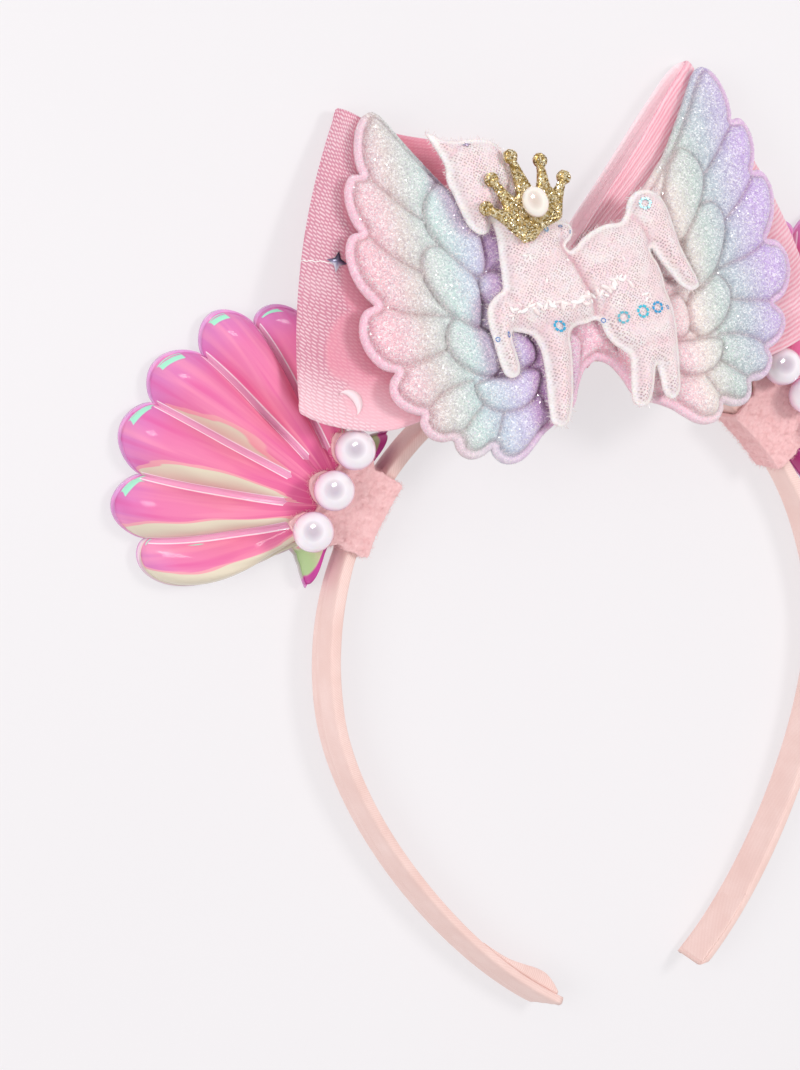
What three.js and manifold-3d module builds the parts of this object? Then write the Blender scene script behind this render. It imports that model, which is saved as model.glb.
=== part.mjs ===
// Shell headband: a satin-covered arch with a net bow, a pair of padded glitter wings, a padded
// unicorn with a crown, and a padded scallop shell with three pearls on each side.
// Millimetres. It lies on its back edge: +X across the head, +Y to the top of the arch, +Z to its front.
import * as THREE from "three";
import { mergeVertices } from "three/addons/utils/BufferGeometryUtils.js";
import Module from "manifold-3d";

const wasm = await Module();
wasm.setup();

const gap = 0.3; // left between pieces that are glued to each other
const weld = 1e-4; // points closer than this are one point

// Arch of the band: half width at its widest level (y = 0), height of the top and place of the tips
const band = { halfWidth: 62.4, topHeight: 67.5, tipX: 20.2, tipY: -78.9, tipSlopeDeg: 38.8,
  topHandle: 0.562, sideHandle: 0.559, legHandle: 25.6, tipHandle: 26,
  width: 8.8, thickness: 3, edge: 0.7, steps: 62 };

// Felt wrapped over the band at this height, and its flap, which reaches out over the shell's base
const felt = { thickness: 1.2, height: 43, wrapFrom: -9.9, wrapTo: 7.9, foot: 0.2, steps: 8 };
const flapOutline = [ // along the band, outward from its middle line
  { along: felt.wrapFrom, out: -2.9 }, { along: felt.wrapTo, out: -2.9 }, { along: felt.wrapTo, out: 4 },
  { along: 12.5, out: 7.5 }, { along: 13.3, out: 12 }, { along: 10.8, out: 15.2 }, { along: 5, out: 14.3 },
  { along: 0, out: 15.4 }, { along: -5, out: 14.3 }, { along: -10.8, out: 15.2 }, { along: -13.5, out: 12 },
  { along: -12.5, out: 7.5 }, { along: felt.wrapFrom, out: 4 },
];
const pearl = { diameter: 8.6, flat: 0.7, pitch: 9.6, along: -0.4, out: 11.8, sides: 12, rings: 6 };

// Scallop shell: apex on the left side of the head, and the direction of its axis
const shell = { apexX: -54.4, apexY: 45.3, axisDeg: 142.2, back: 0.6, rim: 1, apexHeight: 8.2,
  valleyHeight: 3.6, ridgeStart: 0.2, ridgeFull: 0.62, tipRound: 0.26, lobePower: 0.7, ridgePower: 0.75,
  columnsPerLobe: 6 };
const lobes = [ // half of the fan: angles from the axis, reach at the two valleys, bulge and ridge height
  { from: 0, to: 19.4, reachFrom: 45.2, reachTo: 43, bulge: 5.5, ridge: 4.8 },
  { from: 19.4, to: 37.7, reachFrom: 43, reachTo: 41.7, bulge: 6.2, ridge: 4.8 },
  { from: 37.7, to: 64, reachFrom: 41.7, reachTo: 24, bulge: 8.9, ridge: 4.2 },
];
const shellBase = [ // behind the fan
  { angle: 64, reach: 24 }, { angle: 77, reach: 13.7 }, { angle: 95, reach: 8 }, { angle: 130, reach: 3.4 },
  { angle: 180, reach: 2.2 },
];
const shellRows = [0.1, 0.22, 0.42, 0.62, 0.8, 0.91, 0.97, 1]; // shares of the reach
const ear = { tipOut: -3, tipAlong: 18.3, tipHalf: 0.4, tipHeight: 1.6,
  rootAlong: 7, rootFrom: -1.6, rootTo: 13, rootHeight: 6.5 };

// Bow of net ribbon: rulings round the left loop, from the front of the tie to its back.
// Each runs from the ribbon's low edge to its high edge and bulges outward between them; the right
// loop's high edge is lower by drop.
const ribbon = { thickness: 1.2, along: 26, across: 8, pleats: 4, pleatDepth: 0.7 };
const loopRulings = [
  { x: -3.3, y: 73, z: 13, highX: -3.3, highY: 90, highZ: 10.4, drop: 0, pleat: 1, bulge: 0 },
  { x: -14, y: 67, z: 15, highX: -11, highY: 97.5, highZ: 9, drop: 0, pleat: 0.8, bulge: 0 },
  { x: -30, y: 63, z: 16.5, highX: -25, highY: 111, highZ: 7.3, drop: 0, pleat: 0.3, bulge: 0.5 },
  { x: -45, y: 60.6, z: 16.6, highX: -36, highY: 122.8, highZ: 5.2, drop: 0, pleat: 0, bulge: 2 },
  { x: -58.5, y: 64.2, z: 15.8, highX: -40.4, highY: 126.3, highZ: 3.9, drop: 0, pleat: 0, bulge: 3.5 },
  { x: -62.6, y: 67, z: 13.6, highX: -41.6, highY: 127, highZ: 2.5, drop: 0, pleat: 0, bulge: 4 },
  { x: -58, y: 66, z: 11.6, highX: -39.4, highY: 126.3, highZ: 1.1, drop: 0, pleat: 0, bulge: 3.5 },
  { x: -45, y: 64.5, z: 8.4, highX: -31, highY: 121, highZ: 0.85, drop: 2.5, pleat: 0, bulge: 1 },
  { x: -28, y: 69, z: 3, highX: -18.9, highY: 117.3, highZ: 0.85, drop: 11.7, pleat: 0.3, bulge: 0 },
  { x: -12, y: 75, z: 4, highX: -6.4, highY: 114.4, highZ: 1.5, drop: 22, pleat: 0.8, bulge: 0 },
  { x: -3.3, y: 77, z: 5, highX: -3.3, highY: 89.5, highZ: 5, drop: 0, pleat: 1, bulge: 0 },
];
const tie = { halfWidth: 2.7, bottom: 66.4, bandTop: 69.9, top: 91, back: 3.6 };

// Padded forms: points round each end, and how the dome closes in as it rises
const endPoints = 5;
const dome = [
  { scale: 1, rise: 0 }, { scale: 0.97, rise: 0.42 }, { scale: 0.72, rise: 0.84 }, { scale: 0.3, rise: 1 },
];

// Wing pad: a plane that leans back at its top. Heights in it are measured from the plane.
const pad = { x: 3, y: 87.1, z: 16.5, leanDeg: 12.4, back: -2, rimTop: -0.8, rimWidth: 1.4, base: -1 };
const feathers = [ // left wing: centre and radius of the outer end and of the root, height of the crest
  { u: -38.8, v: 32.5, r: 4.8, rootU: -30, rootV: 14, rootR: 5.2, crest: 2.2, rim: true },
  { u: -42.3, v: 20.5, r: 4.8, rootU: -31, rootV: 4, rootR: 5.2, crest: 2.2, rim: true },
  { u: -44.2, v: 7.2, r: 5.5, rootU: -30, rootV: -4, rootR: 5.2, crest: 2.2, rim: true },
  { u: -44.6, v: -6.8, r: 5.6, rootU: -29, rootV: -9, rootR: 5.2, crest: 2.2, rim: true },
  { u: -41.3, v: -18.6, r: 4.7, rootU: -28, rootV: -14, rootR: 4.8, crest: 2.1, rim: true },
  { u: -37, v: -25, r: 4.5, rootU: -25, rootV: -18, rootR: 4.8, crest: 2.1, rim: true },
  { u: -31, v: -29.3, r: 4.3, rootU: -21, rootV: -20, rootR: 4.7, crest: 2.1, rim: true },
  { u: -21.8, v: -31, r: 5.2, rootU: -14, rootV: -20, rootR: 5.2, crest: 2.2, rim: true },
  { u: -28.5, v: 16.5, r: 4.6, rootU: -20, rootV: 2, rootR: 4, crest: 3, rim: false },
  { u: -31, v: 4.5, r: 4.8, rootU: -22, rootV: -8, rootR: 4, crest: 3, rim: false },
  { u: -29, v: -10.5, r: 5, rootU: -21, rootV: -15.5, rootR: 4, crest: 3, rim: false },
  { u: -25, v: -21.8, r: 4.6, rootU: -15, rootV: -20, rootR: 4.5, crest: 3, rim: false },
  { u: -20.5, v: -0.5, r: 3.6, rootU: -12, rootV: -8, rootR: 4, crest: 3, rim: false },
  { u: -17.5, v: -14, r: 3.6, rootU: -10, rootV: -13, rootR: 4, crest: 3, rim: false },
  { u: -7, v: -15, r: 3.2, rootU: -8.2, rootV: -25, rootR: 2.6, crest: 2, rim: false },
];
const padCentre = [ // left half of the plate that joins the wings, from the V at the top to the notch below
  { u: 0, v: -4 }, { u: -14, v: 9.5 }, { u: -27, v: 22 }, { u: -33, v: 8 }, { u: -35, v: -6 },
  { u: -32, v: -18 }, { u: -24, v: -27 }, { u: -14, v: -31 }, { u: -8, v: -29.5 }, { u: -5.5, v: -24 },
  { u: -3, v: -19.5 }, { u: 0, v: -18 },
];

// Padded unicorn on the pad: each limb swells from one round end to the other
const plush = { back: 3.3 };
const limbs = [
  { part: "body", u: -11.5, v: -2.5, r: 8.6, toU: 7, toV: -2.5, toR: 10.5, crest: 4 },
  { part: "neck", u: -13, v: 4, r: 6.5, toU: -17.5, toV: 20, toR: 6, crest: 3.8 },
  { part: "head", u: -19.4, v: 21.6, r: 6.8, toU: -23, toV: 13.2, toR: 2.8, crest: 3.6 },
  { part: "horn", u: -24.2, v: 25, r: 2.8, toU: -29.6, toV: 31.4, toR: 0.6, crest: 2.4 },
  { part: "mane", u: -9, v: 7, r: 4, toU: -4.4, toV: 7.6, toR: 2.4, crest: 3.2 },
  { part: "bent foreleg", u: -17, v: -6, r: 4.5, toU: -22.3, toV: -6.6, toR: 2.8, crest: 3.4 },
  { part: "bent foreleg", u: -22.4, v: -7.5, r: 2.6, toU: -21.8, toV: -18, toR: 1.9, crest: 2.9 },
  { part: "straight foreleg", u: -11.5, v: -11, r: 4.2, toU: -13.6, toV: -29.8, toR: 2, crest: 3.1 },
  { part: "thigh", u: 9, v: -9, r: 8.6, toU: 11.5, toV: -14, toR: 6.2, crest: 3.7 },
  { part: "hind leg", u: 9.5, v: -18, r: 3.4, toU: 5.8, toV: -28.8, toR: 1.8, crest: 2.9 },
  { part: "hind leg", u: 14, v: -17, r: 3.6, toU: 12.8, toV: -28.6, toR: 1.9, crest: 2.9 },
  { part: "tail", u: 13.4, v: 6.4, r: 4.4, toU: 17.2, toV: 9.2, toR: 5, crest: 3.4 },
  { part: "tail", u: 17.2, v: 9.2, r: 5, toU: 19.8, toV: 2.6, toR: 3.8, crest: 3.2 },
  { part: "tail", u: 19.8, v: 2.6, r: 3.8, toU: 24.2, toV: -7.4, toR: 1.4, crest: 2.8 },
];

// Crown on the unicorn's neck: middle of its base in the pad's plane, turn, and its five spikes
const crown = { u: -10.9, v: 7.8, turnDeg: 12, back: 7.6, thickness: 1, baseHalf: 5.1, baseSag: 0.8,
  fanY: 4, ball: 1.45, stalk: 0.8, curveSteps: 7 };
const spikes = [ // ball centre and the valley after it, from the crown's right to its left
  { x: 9.6, y: 9.1, valleyX: 5.6, valleyY: 8.2 }, { x: 6, y: 14.2, valleyX: 2.6, valleyY: 10.6 },
  { x: 0, y: 17.2, valleyX: -2.6, valleyY: 10.6 }, { x: -6, y: 14.2, valleyX: -5.6, valleyY: 8.2 },
  { x: -9.6, y: 9.1 },
];
const crownPearl = { y: 6, width: 5.6, length: 6.6, height: 4.6, flat: 0.5, sides: 14, rings: 6 };

const finishes = {
  satin: { color: 0xe9beb5, roughness: 0.45, metalness: 0 },
  felt: { color: 0xebb9b9, roughness: 0.95, metalness: 0 },
  film: { color: 0xf06fb8, roughness: 0.12, metalness: 0.2 },
  pearl: { color: 0xf3e6f1, roughness: 0.2, metalness: 0 },
  net: { color: 0xf2b3c4, roughness: 0.8, metalness: 0 },
  glitter: { color: 0xe2d6e4, roughness: 0.4, metalness: 0 },
  plush: { color: 0xf8dcdd, roughness: 0.85, metalness: 0 },
  gold: { color: 0xc9ae62, roughness: 0.35, metalness: 0.8 },
};

const rad = THREE.MathUtils.degToRad;
const lerp = THREE.MathUtils.lerp;
const smoothstep = THREE.MathUtils.smoothstep;
const up = new THREE.Vector3(0, 0, 1);
const headband = new THREE.Group();

function addPiece(name, geometry, finish, parent = headband) {
  const mesh = new THREE.Mesh(geometry, new THREE.MeshStandardMaterial(finishes[finish]));
  mesh.name = name;
  parent.add(mesh);
  return mesh;
}

// A closed mesh from points and triangles, turned inside out where its volume comes out negative
function closedGeometry(points, faces) {
  let volume = 0;
  const cross = new THREE.Vector3();
  for (const [a, b, c] of faces) volume += cross.crossVectors(points[b], points[c]).dot(points[a]);
  const index = faces.flatMap(([a, b, c]) => (volume < 0 ? [a, c, b] : [a, b, c]));
  const geometry = new THREE.BufferGeometry().setFromPoints(points);
  geometry.setIndex(index);
  geometry.computeVertexNormals();
  return geometry;
}

// Skin through rings of equal count, closed at both ends by the triangles of the flat section
function loft(rings, section) {
  const count = section.length;
  const last = (rings.length - 1) * count;
  const faces = [];
  for (let i = 0; i < last; i += count) {
    for (let j = 0; j < count; j++) {
      const k = (j + 1) % count;
      faces.push([i + j, i + k, i + count + k], [i + j, i + count + k, i + count + j]);
    }
  }
  for (const [a, b, c] of THREE.ShapeUtils.triangulateShape(section, [])) {
    faces.push([c, b, a], [last + a, last + b, last + c]);
  }
  return closedGeometry(rings.flat(), faces);
}

function toSolid(geometry) {
  const bare = geometry.clone();
  bare.deleteAttribute("normal");
  bare.deleteAttribute("uv");
  const merged = mergeVertices(bare, weld);
  return new wasm.Manifold(new wasm.Mesh({
    numProp: 3,
    vertProperties: new Float32Array(merged.attributes.position.array),
    triVerts: new Uint32Array(merged.index.array),
  }));
}

function join(geometries) {
  const solid = geometries.map(toSolid).reduce((sum, next) => sum.add(next));
  const mesh = solid.getMesh();
  const geometry = new THREE.BufferGeometry();
  geometry.setAttribute("position", new THREE.BufferAttribute(new Float32Array(mesh.vertProperties), 3));
  geometry.setIndex(new THREE.BufferAttribute(new Uint32Array(mesh.triVerts), 1));
  geometry.computeVertexNormals();
  return geometry;
}

// The same piece for the other side of the head
function mirrored(geometry) {
  const copy = geometry.clone().scale(-1, 1, 1);
  const index = copy.index.array;
  for (let i = 0; i < index.length; i += 3) [index[i + 1], index[i + 2]] = [index[i + 2], index[i + 1]];
  copy.computeVertexNormals();
  return copy;
}

// Middle line of the band, from the left tip over the top to the right tip
function bandPath() {
  const { halfWidth, topHeight, tipX, tipY, topHandle, sideHandle, legHandle, tipHandle } = band;
  const slope = rad(band.tipSlopeDeg);
  const path = new THREE.CurvePath();
  for (const side of [-1, 1]) {
    const at = (x, y) => new THREE.Vector3(side * x, y, 0);
    const shoulder = [at(0, topHeight), at(halfWidth * topHandle, topHeight),
      at(halfWidth, topHeight * sideHandle), at(halfWidth, 0)];
    const leg = [at(halfWidth, 0), at(halfWidth, -legHandle),
      at(tipX + tipHandle * Math.cos(slope), tipY + tipHandle * Math.sin(slope)), at(tipX, tipY)];
    if (side < 0) {
      path.add(new THREE.CubicBezierCurve3(...leg.reverse()));
      path.add(new THREE.CubicBezierCurve3(...shoulder.reverse()));
    } else {
      path.add(new THREE.CubicBezierCurve3(...shoulder));
      path.add(new THREE.CubicBezierCurve3(...leg));
    }
  }
  return path;
}

const path = bandPath();
const bandLength = path.getLength();

// Place, direction and outward side of the band at a distance from its left tip
function bandFrame(distance) {
  const share = THREE.MathUtils.clamp(distance / bandLength, 0, 1);
  const tangent = path.getTangentAt(share).normalize();
  return { point: path.getPointAt(share), tangent, outward: new THREE.Vector3().crossVectors(up, tangent) };
}

function sectionRing(section, distance) {
  const { point, outward } = bandFrame(distance);
  return section.map(({ x, y }) => point.clone().addScaledVector(outward, x).setZ(y));
}

function makeHeadband() {
  const { width, edge, steps } = band;
  const half = band.thickness / 2;
  const section = [[edge - half, 0], [half - edge, 0], [half, edge], [half, width - edge],
    [half - edge, width], [edge - half, width], [-half, width - edge], [-half, edge]]
    .map(([x, y]) => new THREE.Vector2(x, y));
  const rings = [];
  for (let i = 0; i <= steps; i++) rings.push(sectionRing(section, (bandLength * i) / steps));
  addPiece("headband", loft(rings, section), "satin");
}

// Distance from the left tip to the middle of the left felt tab
function feltDistance() {
  let distance = bandLength / 4;
  while (bandFrame(distance).point.y < felt.height) distance += 0.1;
  return distance;
}

const tabAt = feltDistance();
const tabFrame = bandFrame(tabAt);
const flapUnder = band.width + gap;
const flapTop = flapUnder + felt.thickness;

function makeFeltTabs() {
  const inner = band.thickness / 2 + gap;
  const outer = inner + felt.thickness;
  const section = [[-outer, felt.foot], [-inner, felt.foot], [-inner, flapUnder], [inner, flapUnder],
    [inner, felt.foot], [outer, felt.foot], [outer, flapTop], [-outer, flapTop]]
    .map(([x, y]) => new THREE.Vector2(x, y));
  const rings = [];
  for (let i = 0; i <= felt.steps; i++) {
    rings.push(sectionRing(section, tabAt + lerp(felt.wrapFrom, felt.wrapTo, i / felt.steps)));
  }
  const outline = new THREE.Shape(flapOutline.map(({ along, out }) => new THREE.Vector2(along, out)));
  const flap = new THREE.ExtrudeGeometry(outline, { depth: felt.thickness, bevelEnabled: false });
  const place = new THREE.Matrix4().makeBasis(tabFrame.tangent, tabFrame.outward, up);
  flap.applyMatrix4(place.setPosition(tabFrame.point.clone().setZ(flapUnder)));
  const tab = join([loft(rings, section), flap]);
  addPiece("felt_tab_left", tab, "felt");
  addPiece("felt_tab_right", mirrored(tab), "felt");
}

// Ball with a flat seat below: half axes across, along and up, its seat at z = 0
function flatBackedBall(halfWidth, halfLength, halfHeight, flat, sides, rings) {
  const lowest = Math.asin(flat / halfHeight - 1);
  const profile = [new THREE.Vector2(0, flat - halfHeight)];
  for (let i = 0; i <= rings; i++) {
    const angle = lerp(lowest, Math.PI / 2, i / rings);
    profile.push(new THREE.Vector2(i === rings ? 0 : Math.cos(angle), halfHeight * Math.sin(angle)));
  }
  const geometry = new THREE.LatheGeometry(profile, sides);
  geometry.rotateX(Math.PI / 2);
  geometry.translate(0, 0, halfHeight - flat);
  return geometry.scale(halfWidth, halfLength, 1);
}

function makePearls() {
  const radius = pearl.diameter / 2;
  for (const side of ["left", "right"]) {
    for (let i = 0; i < 3; i++) {
      const along = pearl.along + (1 - i) * pearl.pitch;
      const place = tabFrame.point.clone().addScaledVector(tabFrame.tangent, along)
        .addScaledVector(tabFrame.outward, pearl.out);
      const ball = flatBackedBall(radius, radius, radius, pearl.flat, pearl.sides, pearl.rings);
      const mesh = addPiece(`pearl_${side}_${i + 1}`, ball, "pearl");
      mesh.position.set(side === "left" ? place.x : -place.x, place.y, flapTop + gap);
    }
  }
}

// Reach of the shell's outline at an angle from its axis, and its place across a lobe, 0 to 1
function shellOutline(angle) {
  const turn = Math.abs(angle);
  const lobe = lobes.find(({ from, to }) => turn >= from && turn <= to);
  if (lobe) {
    const across = (turn - lobe.from) / (lobe.to - lobe.from);
    const swell = Math.sin(Math.PI * across) ** shell.lobePower;
    const reach = lerp(lobe.reachFrom, lobe.reachTo, across) + lobe.bulge * swell;
    return { reach, across, ridge: lobe.ridge };
  }
  const next = shellBase.findIndex((row) => row.angle >= turn);
  const [low, high] = [shellBase[next - 1], shellBase[next]];
  const share = (turn - low.angle) / (high.angle - low.angle);
  return { reach: lerp(low.reach, high.reach, share), across: 0, ridge: 0 };
}

// Height of the shell above its back at a share of the reach
function shellHeight(share, { across, ridge }) {
  const rise = smoothstep(share, shell.ridgeStart, shell.ridgeFull);
  const swell = Math.sin(Math.PI * across) ** shell.ridgePower;
  const full = lerp(shell.apexHeight, shell.valleyHeight, rise) + ridge * swell * rise;
  const toTip = Math.max(0, (share - 1 + shell.tipRound) / shell.tipRound);
  return lerp(shell.rim, full, Math.sqrt(Math.max(0, 1 - toTip * toTip)));
}

function shellAngles() {
  const half = [];
  for (const { from, to } of lobes) {
    for (let i = 0; i < shell.columnsPerLobe; i++) half.push(lerp(from, to, i / shell.columnsPerLobe));
  }
  half.push(...shellBase.slice(0, -1).map(({ angle }) => angle));
  return [...half, 180, ...half.slice(1).map((angle) => -angle).reverse()];
}

function shellEar(side) {
  const { tipOut, tipAlong, tipHalf, tipHeight, rootAlong, rootFrom, rootTo, rootHeight } = ear;
  const at = (out, along, height) => new THREE.Vector3(out, side * along, shell.back + height);
  const root = [at(rootFrom, rootAlong, 0), at(rootTo, rootAlong, 0),
    at((rootFrom + rootTo) / 2, rootAlong, rootHeight)];
  const tip = [at(tipOut - tipHalf, tipAlong, 0), at(tipOut + tipHalf, tipAlong, 0),
    at(tipOut, tipAlong, tipHeight)];
  const section = [new THREE.Vector2(0, 0), new THREE.Vector2(1, 0), new THREE.Vector2(0.5, 1)];
  return loft([root, tip], section);
}

function makeShells() {
  const angles = shellAngles();
  const points = [new THREE.Vector3(0, 0, shell.back + shell.apexHeight),
    new THREE.Vector3(0, 0, shell.back)];
  const faces = [];
  const count = angles.length;
  const ring = (row, column) => 2 + row * count + (column % count);
  const rows = [...shellRows, "back"];
  const lastRow = rows.length - 1;
  for (const row of rows) {
    for (const angle of angles) {
      const outline = shellOutline(angle);
      const share = row === "back" ? 1 : row;
      const height = row === "back" ? 0 : shellHeight(share, outline);
      const point = new THREE.Vector3(outline.reach * share, 0, shell.back + height);
      points.push(point.applyAxisAngle(up, rad(angle)));
    }
  }
  for (let j = 0; j < count; j++) {
    faces.push([0, ring(0, j), ring(0, j + 1)], [1, ring(lastRow, j + 1), ring(lastRow, j)]);
    for (let i = 0; i < lastRow; i++) {
      faces.push([ring(i, j), ring(i + 1, j), ring(i + 1, j + 1)]);
      faces.push([ring(i, j), ring(i + 1, j + 1), ring(i, j + 1)]);
    }
  }
  const geometry = join([closedGeometry(points, faces), shellEar(1), shellEar(-1)]);
  for (const side of ["left", "right"]) {
    const mesh = addPiece(`shell_${side}`, geometry.clone(), "film");
    mesh.position.set(side === "left" ? shell.apexX : -shell.apexX, shell.apexY, 0);
    mesh.rotation.z = rad(side === "left" ? shell.axisDeg : 180 - shell.axisDeg);
  }
}

// Middle surface of a loop: points[i][j], i round the loop and j from the low to the high edge
function loopSurface(side) {
  const place = (x, y, z) => new THREE.Vector3(side * -x, y, z);
  const drop = (row) => (side > 0 ? row.drop : 0);
  const low = new THREE.CatmullRomCurve3(loopRulings.map((row) => place(row.x, row.y, row.z)));
  const high = new THREE.CatmullRomCurve3(
    loopRulings.map((row) => place(row.highX, row.highY - drop(row), row.highZ)));
  const points = [];
  for (let i = 0; i <= ribbon.along; i++) {
    const share = i / ribbon.along;
    const row = share * (loopRulings.length - 1);
    const first = Math.min(Math.floor(row), loopRulings.length - 2);
    const [before, after] = [loopRulings[first], loopRulings[first + 1]];
    const between = (column) => lerp(before[column], after[column], row - first);
    const line = [];
    for (let j = 0; j <= ribbon.across; j++) {
      const across = j / ribbon.across;
      const point = low.getPoint(share).lerp(high.getPoint(share), across);
      point.x += side * between("bulge") * 4 * across * (1 - across);
      point.z += ribbon.pleatDepth * between("pleat") * Math.cos(ribbon.pleats * 2 * Math.PI * across);
      line.push(point);
    }
    points.push(line);
  }
  return points;
}

// Ribbon wall of even thickness round a middle surface
function ribbonWall(points) {
  const rows = points.length;
  const count = points[0].length;
  const clampRow = (i) => Math.min(Math.max(i, 0), rows - 1);
  const clampColumn = (j) => Math.min(Math.max(j, 0), count - 1);
  const skins = [[], []];
  for (let i = 0; i < rows; i++) {
    for (let j = 0; j < count; j++) {
      const along = points[clampRow(i + 1)][j].clone().sub(points[clampRow(i - 1)][j]);
      const across = points[i][clampColumn(j + 1)].clone().sub(points[i][clampColumn(j - 1)]);
      const normal = along.cross(across).normalize();
      skins[0].push(points[i][j].clone().addScaledVector(normal, ribbon.thickness / 2));
      skins[1].push(points[i][j].clone().addScaledVector(normal, -ribbon.thickness / 2));
    }
  }
  const total = rows * count;
  const faces = [];
  const quad = (a, b, c, d) => faces.push([a, b, c], [a, c, d]);
  for (let i = 0; i + 1 < rows; i++) {
    for (let j = 0; j + 1 < count; j++) {
      const corner = i * count + j;
      quad(corner, corner + count, corner + count + 1, corner + 1);
      quad(total + corner, total + corner + 1, total + corner + count + 1, total + corner + count);
    }
    for (const [j, turn] of [[0, false], [count - 1, true]]) {
      const [a, b] = turn ? [(i + 1) * count + j, i * count + j] : [i * count + j, (i + 1) * count + j];
      quad(a, total + a, total + b, b);
    }
  }
  for (const [i, turn] of [[0, true], [rows - 1, false]]) {
    for (let j = 0; j + 1 < count; j++) {
      const [a, b] = turn ? [i * count + j + 1, i * count + j] : [i * count + j, i * count + j + 1];
      quad(a, total + a, total + b, b);
    }
  }
  return closedGeometry(skins.flat(), faces);
}

function makeBow() {
  addPiece("bow_loop_left", ribbonWall(loopSurface(-1)), "net");
  addPiece("bow_loop_right", ribbonWall(loopSurface(1)), "net");
  const lean = Math.tan(rad(pad.leanDeg));
  const underPad = (y) => pad.z + (pad.back - gap) / Math.cos(rad(pad.leanDeg)) - lean * (y - pad.y);
  const profile = [[tie.bottom, flapUnder], [tie.bandTop, flapUnder], [tie.bandTop, tie.back],
    [tie.top, tie.back], [tie.top, underPad(tie.top)], [tie.bottom, underPad(tie.bottom)]];
  const outline = new THREE.Shape(profile.map(([y, z]) => new THREE.Vector2(y, z)));
  const block = new THREE.ExtrudeGeometry(outline, { depth: 2 * tie.halfWidth, bevelEnabled: false });
  block.translate(0, 0, -tie.halfWidth);
  const place = new THREE.Matrix4();
  block.applyMatrix4(place.makeBasis(new THREE.Vector3(0, 1, 0), up, new THREE.Vector3(1, 0, 0)));
  addPiece("bow_tie", block, "net");
}

// Outline round two circles, scaled about their centres
function capsuleOutline({ u, v, r, toU, toV, toR }, scale, grow = 0) {
  const distance = Math.hypot(toU - u, toV - v);
  const heading = Math.atan2(toV - v, toU - u);
  const [first, second] = [scale * r + grow, scale * toR + grow];
  const open = Math.acos(THREE.MathUtils.clamp((first - second) / distance, -1, 1));
  const outline = [];
  for (let i = 0; i < endPoints; i++) {
    const angle = heading + lerp(open, 2 * Math.PI - open, i / (endPoints - 1));
    outline.push(new THREE.Vector2(u + first * Math.cos(angle), v + first * Math.sin(angle)));
  }
  for (let i = 0; i < endPoints; i++) {
    const angle = heading + lerp(-open, open, i / (endPoints - 1));
    outline.push(new THREE.Vector2(toU + second * Math.cos(angle), toV + second * Math.sin(angle)));
  }
  return outline;
}

// Padded form over a capsule, flat below, domed to its crest
function pillow(capsule, base, crest) {
  const rings = dome.map(({ scale, rise }) => {
    const outline = capsuleOutline(capsule, scale);
    return outline.map(({ x, y }) => new THREE.Vector3(x, y, lerp(base, crest, rise)));
  });
  return loft(rings, capsuleOutline(capsule, 1));
}

function plate(outline, from, to) {
  const shape = new THREE.Shape(outline);
  const geometry = new THREE.ExtrudeGeometry(shape, { depth: to - from, bevelEnabled: false });
  return geometry.translate(0, 0, from);
}

function makePad() {
  const group = new THREE.Group();
  group.position.set(pad.x, pad.y, pad.z);
  group.rotation.x = -rad(pad.leanDeg);
  headband.add(group);

  const solids = [];
  const leftHalf = padCentre.map(({ u, v }) => new THREE.Vector2(u, v));
  const rightHalf = padCentre.slice(1, -1).map(({ u, v }) => new THREE.Vector2(-u, v)).reverse();
  solids.push(plate([...leftHalf, ...rightHalf], pad.back, pad.rimTop));
  for (const side of [1, -1]) {
    for (const { u, v, r, rootU, rootV, rootR, crest, rim } of feathers) {
      const feather = { u: side * u, v, r, toU: side * rootU, toV: rootV, toR: rootR };
      if (rim) solids.push(plate(capsuleOutline(feather, 1, pad.rimWidth), pad.back, pad.rimTop));
      solids.push(pillow(feather, pad.base, crest));
    }
  }
  addPiece("wings", join(solids), "glitter", group);

  const limbSolids = limbs.map((limb) => pillow(limb, plush.back, plush.back + limb.crest));
  addPiece("unicorn", join(limbSolids), "plush", group);
  makeCrown(group);
}

function crownOutline() {
  const outline = new THREE.Shape();
  outline.moveTo(-crown.baseHalf, 0);
  outline.quadraticCurveTo(0, -crown.baseSag, crown.baseHalf, 0);
  const fan = new THREE.Vector2(0, crown.fanY);
  for (const { x, y, valleyX, valleyY } of spikes) {
    const out = new THREE.Vector2(x, y).sub(fan);
    const heading = Math.atan2(out.y, out.x);
    const open = Math.asin(crown.stalk / crown.ball);
    outline.absarc(x, y, crown.ball, heading + Math.PI + open, heading + 3 * Math.PI - open, false);
    if (valleyY) outline.lineTo(valleyX, valleyY);
  }
  return outline;
}

function makeCrown(group) {
  const sheet = new THREE.ExtrudeGeometry(crownOutline(),
    { depth: crown.thickness, bevelEnabled: false, curveSegments: crown.curveSteps });
  const turned = new THREE.Group();
  turned.position.set(crown.u, crown.v, crown.back);
  turned.rotation.z = rad(crown.turnDeg);
  group.add(turned);
  addPiece("crown", sheet, "gold", turned);
  const { y, width, length, height, flat, sides, rings } = crownPearl;
  const ball = flatBackedBall(width / 2, length / 2, height / 2, flat, sides, rings);
  const mesh = addPiece("crown_pearl", ball, "pearl", turned);
  mesh.position.set(0, y, crown.thickness + gap);
}

makeHeadband();
makeFeltTabs();
makePearls();
makeShells();
makeBow();
makePad();

// Origin under the middle of the whole, on the surface that it lies on
headband.updateMatrixWorld(true);
const box = new THREE.Box3().setFromObject(headband, true);
const middle = box.getCenter(new THREE.Vector3());
headband.position.set(-middle.x, -middle.y, -box.min.z);
const part = new THREE.Group();
part.add(headband);

export default part;
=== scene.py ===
import math
import bmesh
import bpy
import numpy as np
from mathutils import Matrix, Vector


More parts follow.
